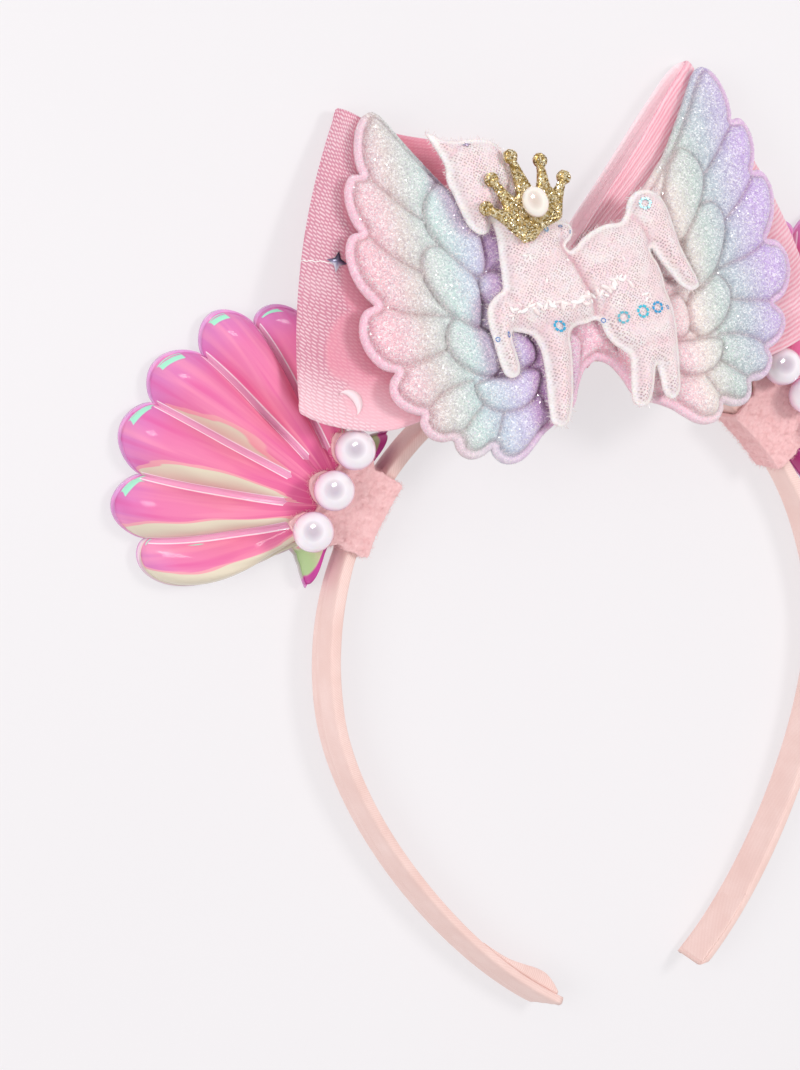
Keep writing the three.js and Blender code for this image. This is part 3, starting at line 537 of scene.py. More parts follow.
darkFoil = makeFoil("dark silver foil", ["#2E2A44", "#8D86A6", "#F1EAF8"], 0.25, 0.25)
palePrint = makeFoil("pale flock print", ["#FBE0E6", "#F8D3DC"], 0.0, 0.7)
clearThread = makeFoil("clear nylon thread", ["#FFFDFC", "#FBEFEE", "#F3DDDE"], 0.0, 0.2)
print("materials ready")


# The headband: satin ribbon pulled over a flat band, its ends folded in at the tips
bandLook = {"halfWidth": 62.4, "topHeight": 67.5, "tipX": 20.2, "tipY": -78.9, "tipSlopeDeg": 38.8,
            "topHandle": 0.562, "sideHandle": 0.559, "legHandle": 25.6, "tipHandle": 26.0,
            "width": 8.8, "thickness": 3.0, "steps": 360, "sides": 40, "past": 2.2, "ground": -80.07,
            "feltFoot": 33.0, "leftTwist": [(0, 25), (0.35, 22), (0.75, 12), (0.95, 4), (1, 0)],
            "rightTwist": [(0, -12), (0.5, -6), (1, 0)], "plump": [(0, 0.76), (0.3, 0.86), (0.85, 1.1), (1, 1)],
            "pulls": [(0.10, 0.41, 0.0), (0.07, 0.93, 2.0)], "pullShare": 0.05, "cutWaver": 0.1}


def bandPath():
    look = bandLook
    slope = math.radians(look["tipSlopeDeg"])
    half, top = look["halfWidth"], look["topHeight"]
    shoulder = [(0, top), (half * look["topHandle"], top), (half, top * look["sideHandle"]), (half, 0)]
    leg = [(half, 0), (half, -look["legHandle"]),
           (look["tipX"] + look["tipHandle"] * math.cos(slope), look["tipY"] + look["tipHandle"] * math.sin(slope)),
           (look["tipX"], look["tipY"])]
    t = np.linspace(0, 1, 400)[:, None]
    right = np.vstack([(1 - t) ** 3 * a + 3 * t * (1 - t) ** 2 * b + 3 * t * t * (1 - t) * c + t ** 3 * d
                       for a, b, c, d in (np.array(shoulder, float)[:, None], np.array(leg, float)[:, None])])
    left = right[::-1] * (-1, 1)
    line = np.vstack([left, right])
    keep = np.r_[True, np.linalg.norm(np.diff(line, axis=0), axis=1) > 1e-6]
    return line[keep]


bandLine = bandPath()
bandRun = runAlong(bandLine)
bandLength = bandRun[-1]


# Distance from the left tip to a height on the left leg
def legRun(height):
    rising = len(bandLine) // 2
    return np.interp(height, bandLine[:rising, 1], bandRun[:rising])


# Place, direction and outward side of the band's middle line at distances from its left tip
def bandFrame(distance):
    at = lambda d: np.stack([np.interp(d, bandRun, bandLine[:, k]) for k in (0, 1)], axis=-1)
    step = 0.4
    ahead = at(np.minimum(distance + step, bandLength)) - at(np.maximum(distance - step, 0))
    ahead /= np.linalg.norm(ahead, axis=-1, keepdims=True)
    return at(distance), ahead, np.stack([-ahead[..., 1], ahead[..., 0]], axis=-1)


# Below the felt each leg is turned a little on its own line and thins out: radians, and share of the thickness
def bandTwist(distance):
    look = bandLook
    free = legRun(look["feltFoot"])
    left, right = distance / free, (bandLength - distance) / free
    turn = np.interp(left, *zip(*look["leftTwist"])) + np.interp(right, *zip(*look["rightTwist"]))
    return np.radians(turn), np.interp(np.minimum(left, right), *zip(*look["plump"]))


# Points round a flat section with rounded corners: out from the middle line, and up from its middle
def roundedSection(thick, wide, count):
    turn = np.linspace(0, 2 * math.pi, count, endpoint=False)
    c, s = np.cos(turn), np.sin(turn)
    sharp = 0.42  # of a power that squares the round section off
    return (np.sign(c) * np.abs(c) ** sharp * thick / 2, np.sign(s) * np.abs(s) ** sharp * wide / 2)


def closeRings(rings, around):
    faces = []
    for i in range(rings - 1):
        for j in range(around):
            k = (j + 1) % around
            faces.append((i * around + j, i * around + k, (i + 1) * around + k, (i + 1) * around + j))
    faces.append(tuple(range(around)))
    faces.append(tuple(range((rings - 1) * around, rings * around)))
    return faces


def makeBand():
    look = bandLook
    count = look["sides"]
    along = np.linspace(-look["past"], bandLength + look["past"], look["steps"])
    points, cloth = [], []
    out, up = roundedSection(look["thickness"], look["width"], count)
    girth = np.r_[0, np.cumsum(np.hypot(np.diff(out), np.diff(up)))]
    kept = np.clip(along, 0, bandLength)
    place, ahead, outward = bandFrame(kept)
    place = place + ahead * (along - kept)[:, None]
    pull = sum(deep * np.sin(along * pace + start) for deep, pace, start in look["pulls"])  # wound by hand
    twist, plump = bandTwist(kept)
    for i in range(len(along)):
        swell = out * plump[i] * (1 + look["pullShare"] * pull[i])
        aside = swell * math.cos(twist[i]) - up * math.sin(twist[i])
        flat = place[i] + outward[i] * aside[:, None]
        flat[:, 1] = np.maximum(flat[:, 1], look["ground"] + look["cutWaver"] * (along[i] % 1))  # cut level
        level = swell * math.sin(twist[i]) + up * math.cos(twist[i])
        points.append(np.column_stack([flat, look["width"] / 2 + level]))
        cloth.append(np.column_stack([np.full(count, along[i]), girth]))
    piece = makePiece("satin_headband", np.vstack(points), closeRings(len(along), count), satin, np.vstack(cloth))
    settle(piece, "satin", "headband")


# The ribbon's end is turned over each tip and glued inside the band: distance back from the tip, and thickness there
foldLook = {"wide": 7.4, "cutWidth": 10.0, "rows": 40, "around": 24, "sunk": 0.35, "raised": 0.6, "waver": 0.02,
            "waverPace": 0.3, "cutStep": 0.01, "clothFrom": 4,
            "left": [(24, 0.2), (21, 0.6), (16, 1.3), (11, 2.6), (7, 3.6), (4, 3.7), (1.5, 2.6), (-0.4, 1.0)],
            "right": [(18, 0.2), (14, 0.45), (9, 0.6), (4.5, 0.75), (1, 0.8), (-1.2, 0.6)]}


def makeTipFold(side):
    look = foldLook
    sign = -1 if side == "left" else 1
    route = smoothCurve(look[side], np.linspace(0, 1, look["rows"]))
    points, cloth = [], []
    for i, (back, thick) in enumerate(route):
        distance = np.array(max(back, 0) if sign < 0 else bandLength - max(back, 0))
        place, ahead, outward = bandFrame(distance)
        twist, plump = bandTwist(distance)
        wide = look["wide"] * (1 - look["waver"] * math.sin(i * look["waverPace"]))
        out, up = roundedSection(thick, wide, look["around"])
        ahead = ahead * sign
        inside = -(bandLook["thickness"] * plump / 2 - look["sunk"] + thick / 2 + out)
        up = up + look["raised"]
        aside = inside * math.cos(twist) - up * math.sin(twist)
        flat = place + ahead * max(-back, 0) + outward * aside[:, None]
        flat[:, 1] = np.maximum(flat[:, 1], bandLook["ground"] + look["cutStep"] * i)
        level = inside * math.sin(twist) + up * math.cos(twist)
        points.append(np.column_stack([flat, bandLook["width"] / 2 + level]))
        cloth.append(np.column_stack([np.full(look["around"], back), up + look["clothFrom"]]))
    piece = makePiece("tip_fold_" + side, np.vstack(points), closeRings(len(route), look["around"]), satin,
                      np.vstack(cloth))
    settle(piece, "satin")


makeBand()
makeTipFold("left")
makeTipFold("right")
print("satin band ready")


# A softened copy of a CAD solid: merged, remeshed finely, smoothed and roughened by given ripples
mergeWithin = 0.02


def softCopy(name, node, material, voxel, smooth, ripple):
    source = bpy.data.objects[node]
    work = bmesh.new()
    work.from_mesh(source.data)
    bmesh.ops.remove_doubles(work, verts=work.verts, dist=mergeWithin * mm)
    mesh = bpy.data.meshes.new(name)
    work.to_mesh(mesh)
    work.free()
    made = addObject(name, mesh)
    remesh = made.modifiers.new("remesh", "REMESH")
    remesh.mode = "VOXEL"
    remesh.voxel_size = voxel * mm
    ease = made.modifiers.new("ease", "SMOOTH")
    ease.iterations = smooth
    depsgraph = bpy.context.evaluated_depsgraph_get()
    soft = bpy.data.meshes.new_from_object(made.evaluated_get(depsgraph))
    made.modifiers.clear()
    made.data = soft
    soft.name = name
    points = readRows(soft, "co")
    points += readRows(soft, "normal") * (ripple(points / mm) * mm)[:, None]
    soft.vertices.foreach_set("co", points.ravel())
    soft.materials.clear()
    soft.materials.append(material)
    soft.shade_smooth()
    return made


# Felt tabs: folded round the band, with a flap in front that carries the pearls
tabLook = {"voxel": 0.3, "smooth": 3, "lump": 0.09, "fibresPerMm2": 4.9, "fibreLength": 0.9,
           "fibreRadius": 0.022, "seeds": {"left": 3, "right": 8}, "flat": (0.030, 0.029), "height": 43.0,
           "pearlPitch": 9.6, "pearlAlong": -0.4, "pearlOut": 11.8, "margin": 3.7, "fixed": 9.0, "edge": 14.8}


def feltLumps(p):
    return tabLook["lump"] * (np.sin(p[:, 0] * 2.1 + p[:, 1] * 1.3) * np.sin(p[:, 1] * 1.9 - p[:, 2] * 2.4)
                              + 0.6 * np.sin(p[:, 0] * 4.3 - p[:, 1] * 3.7 + 1.0))


# The flap is cut in three scallops round the pearls
def scallopFlap(tab, sign):
    look = tabLook
    place, ahead, outward = bandFrame(np.array(legRun(look["height"])))
    points = readRows(tab.data, "co")
    flat = (points[:, :2] - (0, shiftY)) / mm * (sign, 1) - place
    along, out = flat @ ahead, flat @ outward
    limit = np.full(len(out), look["pearlOut"])
    for k in (-1, 0, 1):
        off = along - look["pearlAlong"] - k * look["pearlPitch"]
        limit = np.maximum(limit, look["pearlOut"] + np.sqrt(np.maximum(0, look["margin"] ** 2 - off ** 2)))
    drawn = look["fixed"] + (out - look["fixed"]) * (limit - look["fixed"]) / (look["edge"] - look["fixed"])
    out = np.where(out > look["fixed"], drawn, out)
    flat = place + along[:, None] * ahead + out[:, None] * outward
    points[:, :2] = flat * (sign, 1) * mm + (0, shiftY)
    tab.data.vertices.foreach_set("co", points.ravel())
    tab.data.update()


# Loose fibres stand off the felt: thin bent hairs scattered on its faces
def fibreTree():
    tree, given = startTree("felt fibres", {
        "Per square metre": ("Float", 1.0), "Length": ("Float", 1.0), "Radius": ("Float", 1.0), "Seed": ("Int", 0)})
    spots = addNode(tree, "GeometryNodeDistributePointsOnFaces", links={
        "Mesh": (given, "Geometry"), "Density": (given, "Per square metre"), "Seed": (given, "Seed")})
    hair = addNode(tree, "GeometryNodeCurveQuadraticBezier", {
        "Resolution": 4, "Start": (0, 0, -0.1), "Middle": (0.05, 0, 0.45), "End": (0.7, 0.15, 0.62)})
    ring = addNode(tree, "GeometryNodeCurvePrimitiveCircle", {"Resolution": 3, "Radius": 1.0})
    thin = addNode(tree, "ShaderNodeMath", {"operation": "DIVIDE"},
                   {0: (given, "Radius"), 1: (given, "Length")})
    slim = addNode(tree, "GeometryNodeTransform", links={"Geometry": ring, "Scale": thin})
    strand = addNode(tree, "GeometryNodeCurveToMesh", {"Fill Caps": True}, {"Curve": hair, "Profile Curve": slim})
    spin = addNode(tree, "FunctionNodeRandomValue", {
        "data_type": "FLOAT_VECTOR", 0: (-0.5, -0.5, -3.14), 1: (0.5, 0.5, 3.14)}, {"Seed": (given, "Seed")})
    stand = turnOn(tree, (spots, "Rotation"), spin)
    size = addNode(tree, "FunctionNodeRandomValue", {"data_type": "FLOAT", 2: 0.5, 3: 1.2}, {"Seed": (given, "Seed")})
    long = addNode(tree, "ShaderNodeMath", {"operation": "MULTIPLY"}, {0: (size, 1), 1: (given, "Length")})
    fuzz = addNode(tree, "GeometryNodeInstanceOnPoints", links={
        "Points": (spots, "Points"), "Instance": strand, "Rotation": stand, "Scale": long})
    return closeTree(tree, fuzz, felt)


def makeFeltTabs():
    look = tabLook
    tree = fibreTree()
    for side, seed in look["seeds"].items():
        node = "felt_tab_" + side
        tab = softCopy("felt_wrap_" + side, node, felt, look["voxel"], look["smooth"], feltLumps)
        scallopFlap(tab, 1 if side == "left" else -1)
        fuzz = grow("felt_fibres_" + side, tab, tree, {
            "Per square metre": look["fibresPerMm2"] * 1e6, "Length": look["fibreLength"] * mm,
            "Radius": look["fibreRadius"] * mm, "Seed": seed}, keepCarrier=True)
        settle(tab, "felt", node)
        settle(fuzz, "felt")


makeFeltTabs()
print("felt tabs ready")


# The pad's own frame: across, up along its face, and out of its face
padLook = {"x": 3.0, "y": 87.1, "z": 16.5, "leanDeg": 12.4}
padLean = math.radians(padLook["leanDeg"])
padAxes = np.array([(1, 0, 0), (0, math.cos(padLean), -math.sin(padLean)), (0, math.sin(padLean), math.cos(padLean))])
padMiddle = np.array([padLook["x"], padLook["y"], padLook["z"]])


def padPoint(u, v, n):
    return padMiddle + np.stack(np.broadcast_arrays(u, v, n), axis=-1).astype(float) @ padAxes


# Pearls: beads with a flat seat, set on points
def pearlTree(material):
    tree, given = startTree("pearls " + material.name, {
        "Diameter": ("Float", 1.0), "Seat": ("Float", 0.0), "Stretch": ("Vector", (1, 1, 1)),
        "Turn": ("Vector", (0, 0, 0))})
    half = addNode(tree, "ShaderNodeMath", {"operation": "MULTIPLY", 1: 0.5}, {0: (given, "Diameter")})
    bead = addNode(tree, "GeometryNodeMeshUVSphere", {"Segments": 56, "Rings": 36}, {"Radius": half})
    where = addNode(tree, "GeometryNodeInputPosition")
    split = addNode(tree, "ShaderNodeSeparateXYZ", links={0: where})
    seat = addNode(tree, "ShaderNodeMath", {"operation": "SUBTRACT"}, {0: (given, "Seat"), 1: half})
    cut = addNode(tree, "ShaderNodeMath", {"operation": "MAXIMUM"}, {0: (split, "Z"), 1: seat})
    flat = addNode(tree, "ShaderNodeCombineXYZ", links={"X": (split, "X"), "Y": (split, "Y"), "Z": cut})
    seated = addNode(tree, "GeometryNodeSetPosition", links={"Geometry": bead, "Position": flat})
    smooth = addNode(tree, "GeometryNodeSetShadeSmooth", links={0: seated})
    turn = addNode(tree, "FunctionNodeEulerToRotation", links={0: (given, "Turn")})
    beads = addNode(tree, "GeometryNodeInstanceOnPoints", links={
        "Points": (given, "Geometry"), "Instance": smooth, "Rotation": turn, "Scale": (given, "Stretch")})
    return closeTree(tree, beads, material)


pearlLook = {"diameter": 8.6, "seat": 0.7, "places": [(-52.2, 57.5), (-58.0, 49.9), (-63.8, 42.2)], "middle": 14.2,
             "turnStep": 0.9}


def makePearls():
    look = pearlLook
    tree = pearlTree(whitePearl)
    for side, sign in (("left", 1), ("right", -1)):
        for k, (x, y) in enumerate(look["places"]):
            spot = makePiece("spot", [(sign * x, y, look["middle"])], [], whitePearl)
            pearl = grow(f"bead_{side}_{k + 1}", spot, tree, {
                "Diameter": look["diameter"] * mm, "Seat": look["seat"] * mm,
                "Turn": (0.0, 0.0, look["turnStep"] * k), "Stretch": (1.0, 1.0, 1.0)})
            settle(pearl, "pearl", f"pearl_{side}_{k + 1}")


makePearls()
print("pearls ready")


# Shells: film lobes over wadding, with flat welds between them and a pointed ear each side of the root
shellLook = {"apexX": -54.4, "apexY": 45.3, "axisDeg": 142.2, "back": 0.6, "rim": 1.0, "flange": 0.9,
             "apexHeight": 8.2, "valleyHeight": 3.4, "ridgeStart": 0.2, "ridgeFull": 0.62, "tipRound": 0.3,
             "lobePower": 0.7, "ridgePower": 0.6, "weldFrom": 0.28, "weldTo": 0.97,
             "spread": 0.3, "upperTurn": 0.955, "fanDeg": (75, 40), "columns": 30, "rows": 60, "rootSteps": 4,
             "firstRow": 0.06, "edge": 0.55, "pucker": 0.14, "earDeg": (78, 82, 112, 118), "earSplitDeg": 97.2,
             "flank": [(19.3, 0.02), (19.5, 0.05), (37.6, 0.05), (37.8, 0.27)], "upperFlank": -0.04, "offLobe": 9.0}
# angle from, angle to, reach at each, bulge of the rim, height of the ridge
shellLobes = [(0, 19.4, 45.2, 43.0, 5.5, 5.1), (19.4, 37.7, 43.0, 41.7, 6.2, 5.1), (37.7, 64, 41.7, 24.0, 8.9, 4.4)]
# angle, reach and crease height round the ears and the root
shellRoot = [(64, 24.0, 0.0), (70, 17.2, 0.2), (75.7, 13.9, 0.6), (83, 14.2, 1.4), (91, 15.8, 2.4), (97, 17.8, 2.8),
             (101.8, 19.6, 2.4), (104.5, 15.0, 1.2), (110, 9.9, 0.5), (118, 5.8, 0.0), (130, 3.4, 0.0), (180, 2.2, 0.0)]


def shellColumns():
    made = []  # angle, reach, across a lobe, ridge, angle a lobe spans, crease height, number of lobes from the axis
    for number, (low, high, reachLow, reachHigh, bulge, ridge) in enumerate(shellLobes):
        for k in range(shellLook["columns"]):
            across = (1 - math.cos(math.pi * k / shellLook["columns"])) / 2  # closer together beside the welds
            swell = math.sin(math.pi * across) ** shellLook["lobePower"]
            angle = lerp(low, high, across)
            made.append((angle, lerp(reachLow, reachHigh, across) + bulge * swell, across, ridge, high - low, 0.0,
                         number + across))
    beyond = float(len(shellLobes))
    for (a, reachA, creaseA), (b, reachB, creaseB) in zip(shellRoot, shellRoot[1:]):
        for t in np.arange(shellLook["rootSteps"]) / shellLook["rootSteps"]:
            made.append((lerp(a, b, t), lerp(reachA, reachB, t), 0.0, 0.0, 0.0, lerp(creaseA, creaseB, t), beyond))
    made.append((*shellRoot[-1][:2], 0.0, 0.0, 0.0, 0.0, beyond))
    return made


def makeShell(side):
    look = shellLook
    half = shellColumns()
    columns = half + [(-row[0], *row[1:]) for row in half[-2:0:-1]]
    angle, reach, across, ridge, span, crease, lobe = np.array(columns).T
    count = len(columns)
    shares = np.sin(np.linspace(look["firstRow"], 1, look["rows"]) * math.pi / 2)
    share = shares[:, None]
    domeShare = np.clip(share / (1 - look["flange"] / np.maximum(reach, 6)), 0, 1)
    rise = smoothstep(domeShare, look["ridgeStart"], look["ridgeFull"])
    width = np.radians(span) * reach * share
    offWeld = np.minimum(across, 1 - across) * width
    strip = filmLook["weldHalf"] * smoothstep(share, look["weldFrom"] - 0.04, look["weldFrom"] + 0.02)
    climb = np.clip((offWeld - strip) / np.maximum(width / 2 - strip, 0.1), 0, 1)
    swell = np.where(span > 0, np.sin(climb * math.pi / 2) ** look["ridgePower"], 0)
    full = lerp(look["apexHeight"], look["valleyHeight"], rise) + ridge * swell * rise
    ripple = look["pucker"] * np.sin(across * 11 + share * 17) * swell * rise  # film puckers between the welds
    full = full + ripple + crease * rise
    toTip = np.maximum(0, (domeShare - 1 + look["tipRound"]) / look["tipRound"])
    height = lerp(look["rim"], full, np.sqrt(np.maximum(0, 1 - toTip * toTip)))
    inLobe = (span > 0) & (share > look["weldFrom"]) & (share < look["weldTo"])
    marked = np.where(inLobe, offWeld, look["offLobe"])
    off = np.abs(angle)
    earFrom, earFull, earLast, earEnd = look["earDeg"]
    onEar = smoothstep(off, earFrom, earFull) * (1 - smoothstep(off, earLast, earEnd)) * smoothstep(share, 0.45, 0.5)
    light = off < look["earSplitDeg"]
    flank = np.interp(off, *zip(*look["flank"]))  # the lowest lobe shows most of the painted beige reflection
    flank = np.where(angle < 0, look["upperFlank"], flank)
    outerEdge = np.where(share * reach > reach - look["edge"], 1.0, 0.0)
    fan = smoothstep(off, *look["fanDeg"])
    turn = np.where(angle < 0, lerp(1, look["upperTurn"], fan), 1.0) * angle
    turn = np.radians(turn * (1 + look["spread"] * (1 - share) * fan))
    x, y = reach * share * np.cos(turn), reach * share * np.sin(turn)
    front = np.stack([x, y, look["back"] + height], axis=-1).reshape(-1, 3)
    rear = np.stack([x[-1], y[-1], np.full(count, look["back"])], axis=-1)
    points = np.vstack([front, rear, [(0, 0, look["back"] + look["apexHeight"])], [(0, 0, look["back"])]])
    layers = {"share": np.broadcast_to(share, height.shape), "offWeld": marked, "rim": outerEdge,
              "flank": np.broadcast_to(flank, height.shape),
              "earLight": onEar * light * lerp(0.7, 1, smoothstep(share, 0.55, 0.9)), "earDark": onEar * ~light}
    marks = {key: np.r_[layer.ravel(), layer[-1], 0, 0] for key, layer in layers.items()}
    hand = 1.0 if side == "left" else -1.0  # the two are a mirrored pair
    marks["hand"] = np.tile((hand, 1.0, 1.0), (len(points), 1))
    cloth = np.stack([np.broadcast_to(np.sign(angle) * lobe, height.shape), layers["share"]], axis=-1)
    cloth = np.vstack([cloth.reshape(-1, 2), cloth[-1], [(0, 0), (0, 0)]])
    faces = []
    rows = look["rows"] + 1
    top, bottom = rows * count, rows * count + 1
    for j in range(count):
        k = (j + 1) % count
        faces.append((top, j, k))
        faces.append((bottom, (rows - 1) * count + k, (rows - 1) * count + j))
        for i in range(rows - 1):
            faces.append((i * count + j, (i + 1) * count + j, (i + 1) * count + k, i * count + k))
    axis = math.radians(look["axisDeg"])
    c, s = math.cos(axis), math.sin(axis)
    placed = points @ np.array([(c, s, 0), (-s, c, 0), (0, 0, 1)]) + (look["apexX"], look["apexY"], 0)
    placed = placed * (hand, 1, 1)
    piece = makePiece("film_shell_" + side, placed, faces, film, cloth, marks)
    settle(piece, "film", "shell_" + side)


makeShell("left")
makeShell("right")
print("shells ready")


# Bow loops: knitted tulle ribbon folded round and gathered at the knot
loopLook = {"wall": 0.75, "hem": 2.2, "along": 150, "across": 128, "pleats": 4, "pleatDepth": 0.18,
            "finePleats": 34, "fineDepth": 0.07, "rightPleat": 0.85, "smooth": 0.75, "edgeThroughLight": 0.4, "sag": 0.28,
            "rear": (0.5, 0.58), "rearFine": 0.8, "rearPleat": 0.6, "rearThroughLight": 0.95, "hemSwell": 0.45}
# low edge x y z, high edge x y z, drop of the right loop's high edge, pleating, bulge
loopRulings = np.array([
    (-3.3, 73, 13, -3.3, 90, 10.4, 0, 1, 0), (-14, 67, 15, -11, 97.5, 9, 0, 0.8, 0),
    (-30, 63, 16.5, -25, 111, 7.3, 0, 0.3, 0.5), (-45, 60.6, 16.6, -36, 122.8, 5.2, 0, 0, 2),
    (-58.5, 64.2, 15.8, -40.4, 126.3, 3.9, 0, 0, 3.5), (-62.6, 67, 13.6, -41.6, 127, 2.5, 0, 0, 4),
    (-58, 66, 11.6, -39.4, 126.3, 1.1, 0, 0, 3.5), (-45, 64.5, 8.4, -31, 121, 0.85, 2.5, 0, 1),
    (-28, 69, 3, -18.9, 117.3, 0.85, 11.7, 0.3, 0), (-12, 75, 4, -6.4, 114.4, 1.5, 22, 0.8, 0),
    (-3.3, 77, 5, -3.3, 89.5, 5, 0, 1, 0)])


# 0 in a loop's front layer and 1 in its rear one
def inRear(around):
    return smoothstep(around, *loopLook["rear"])


# The right loop is finely pleated in front; its rear layer is smooth and sheer
def rightPleats(side, around):
    return (loopLook["rightPleat"] * (1 - loopLook["rearFine"] * inRear(around))) * (side > 0)


# Middle surface of a loop at shares round it and across it; side is -1 on the left and 1 on the right
def loopSurface(side, around, across):
    look = loopLook
    flip = np.array((-side, 1, 1))
    high = loopRulings[:, 3:6].copy()
    if side > 0:
        high[:, 1] -= loopRulings[:, 6]
    low = smoothCurve(loopRulings[:, :3] * flip, around)[:, None]
    high = smoothCurve(high * flip, around)[:, None]
    rows = np.linspace(0, 1, len(loopRulings))
    pleat = np.interp(around, rows, loopRulings[:, 7])[:, None]
    if side > 0:
        pleat = pleat * (1 - look["rearPleat"] * inRear(around)[:, None])
    bulge = np.interp(around, rows, loopRulings[:, 8])[:, None]
    points = low + (high - low) * across[None, :, None]
    points[..., 0] += side * bulge * 4 * across * (1 - across)
    fine = look["fineDepth"] * np.cos(look["finePleats"] * 2 * np.pi * across + 3.0 * np.sin(around * 9)[:, None])
    points[..., 2] += pleat * look["pleatDepth"] * np.cos(look["pleats"] * 2 * np.pi * across)
    points[..., 2] += np.maximum(pleat, rightPleats(side, around)[:, None]) * fine
    sag = look["sag"] * np.sin(around * 21 + 1.0)[:, None] * np.sin(across * 5.5 + around[:, None] * 7)
    points[..., 2] += sag * (1 - pleat)
    return points


def makeLoop(side, name, node):
    look = loopLook
    around = np.linspace(0, 1, look["along"])
    across = np.linspace(0, 1, look["across"])
    middle = loopSurface(side, around, across)
    normal = np.cross(np.gradient(middle, axis=0), np.gradient(middle, axis=1))
    normal /= np.linalg.norm(normal, axis=2, keepdims=True)
    width = np.linalg.norm(middle[:, -1] - middle[:, 0], axis=1)
    toEdge = np.minimum(across, 1 - across) * width[:, None]
    wall = look["wall"] / 2 * (1 + look["hemSwell"] * (1 - smoothstep(toEdge, look["hem"] - 0.3, look["hem"] + 0.3)))
    wall = wall * np.sqrt(np.clip(toEdge / 0.4 + 0.2, 0, 1))
    skins = np.vstack([(middle + normal * wall[..., None]).reshape(-1, 3),
                       (middle - normal * wall[..., None]).reshape(-1, 3)])
    run = runAlong(middle[:, look["across"] // 2])
    alongCloth = np.broadcast_to(run[:, None], toEdge.shape)
    cloth = np.stack([alongCloth, across * width.max() * np.ones_like(toEdge)], axis=-1)
    cloth = np.vstack([cloth.reshape(-1, 2)] * 2)
    rows, count = look["along"], look["across"]
    total = rows * count
    faces = []
    for i in range(rows - 1):
        for j in range(count - 1):
            a = i * count + j
            faces.append((a, a + count, a + count + 1, a + 1))
            faces.append((total + a, total + a + 1, total + a + count + 1, total + a + count))
        for j in (0, count - 1):
            a, b = i * count + j, (i + 1) * count + j
            faces.append((a, b, total + b, total + a))
    for i in (0, rows - 1):
        for j in range(count - 1):
            a = i * count + j
            faces.append((a, a + 1, total + a + 1, total + a))
    gathered = np.interp(around, np.linspace(0, 1, len(loopRulings)), loopRulings[:, 7])
    gathered = np.maximum(gathered, rightPleats(side, around))
    # painted light: the right loop's rear layer and the left loop's free edge are marked to be painted paler and to
    # glow faintly
    sheer = look["rearThroughLight"] * inRear(around)[:, None] * np.ones(count)
    if side < 0:
        sheer = np.ones((rows, 1)) * look["edgeThroughLight"] * (1 - smoothstep(across, 0.04, 0.22))
    # painted shadow of the wing on the left loop, and above the wing's inner edge: the wing's outline is moved right
    # and the ribbon inside it painted a deeper, plainer pink
    inPad = (skins - padMiddle) @ padAxes.T
    shadowOffset = np.clip(2 + 0.4 * (5 - inPad[:, 1]), 0, 9)  # the wing's painted shadow falls further to the left lower down
    intoShadow = outlineField(inPad[:, 0] + shadowOffset, inPad[:, 1], wingRing)
    wingShadowMask = np.maximum(smoothstep(intoShadow, -0.6, 0.6), smoothstep(inPad[:, 0], -35, -32) * (inPad[:, 1] > 0))
    smooth = look["smooth"] * wingShadowMask * (side < 0)
    marks = {"pleat": np.tile(np.repeat(gathered, count), 2), "smooth": smooth,
             "sheer": np.tile(sheer.ravel(), 2)}
    piece = makePiece(name, skins, faces, knit, cloth, marks)
    settle(piece, "net", node)
    flatWidth = width.mean()
    return run[-1], flatWidth


# The knot: the ribbon's gathered middle, pleated across
knotLook = {"voxel": 0.4, "smooth": 6, "pleat": 0.3, "pleatPace": 4.2, "waver": 0.12}


def knotPleats(p):
    pleats = knotLook["pleat"] * np.cos(p[:, 0] * knotLook["pleatPace"])
    return pleats + knotLook["waver"] * np.sin(p[:, 1] * 0.9 + p[:, 0])


def makeKnot():
    knot = softCopy("gathered_knot", "bow_tie", knit, knotLook["voxel"], knotLook["smooth"], knotPleats)
    points = readRows(knot.data, "co") / mm
    layCloth(knot.data, np.column_stack([points[:, 1], points[:, 0] + points[:, 2]]))
    settle(knot, "net", "bow_tie")


# Distances in the pad's plane: to a tapered stroke, and inside a closed outline
def strokeField(u, v, stroke):
    fromU, fromV, radius, toU, toV, toRadius = stroke[:6]
    du, dv = toU - fromU, toV - fromV
    t = np.clip(((u - fromU) * du + (v - fromV) * dv) / (du * du + dv * dv), 0, 1)
    return np.hypot(u - fromU - t * du, v - fromV - t * dv), lerp(radius, toRadius, t)


def outlineField(u, v, outline):
    best = np.full(u.shape, 1e9)
    inside = np.zeros(u.shape, bool)
    for (au, av), (bu, bv) in zip(outline, np.roll(outline, -1, axis=0)):
        du, dv = bu - au, bv - av
        t = np.clip(((u - au) * du + (v - av) * dv) / (du * du + dv * dv + 1e-12), 0, 1)
        best = np.minimum(best, (u - au - t * du) ** 2 + (v - av - t * dv) ** 2)
        if av != bv:
            inside ^= ((av > v) != (bv > v)) & (u < au + du * (v - av) / dv)
    return np.where(inside, 1, -1) * np.sqrt(best)


def closedCurve(corners, perSpan):
    ring = np.array(corners[-2:] + corners + corners[:2], float)
    spans = len(ring) - 1
    shares = np.arange(2 * perSpan, (spans - 1) * perSpan) / (spans * perSpan)
    return smoothCurve(ring, shares)


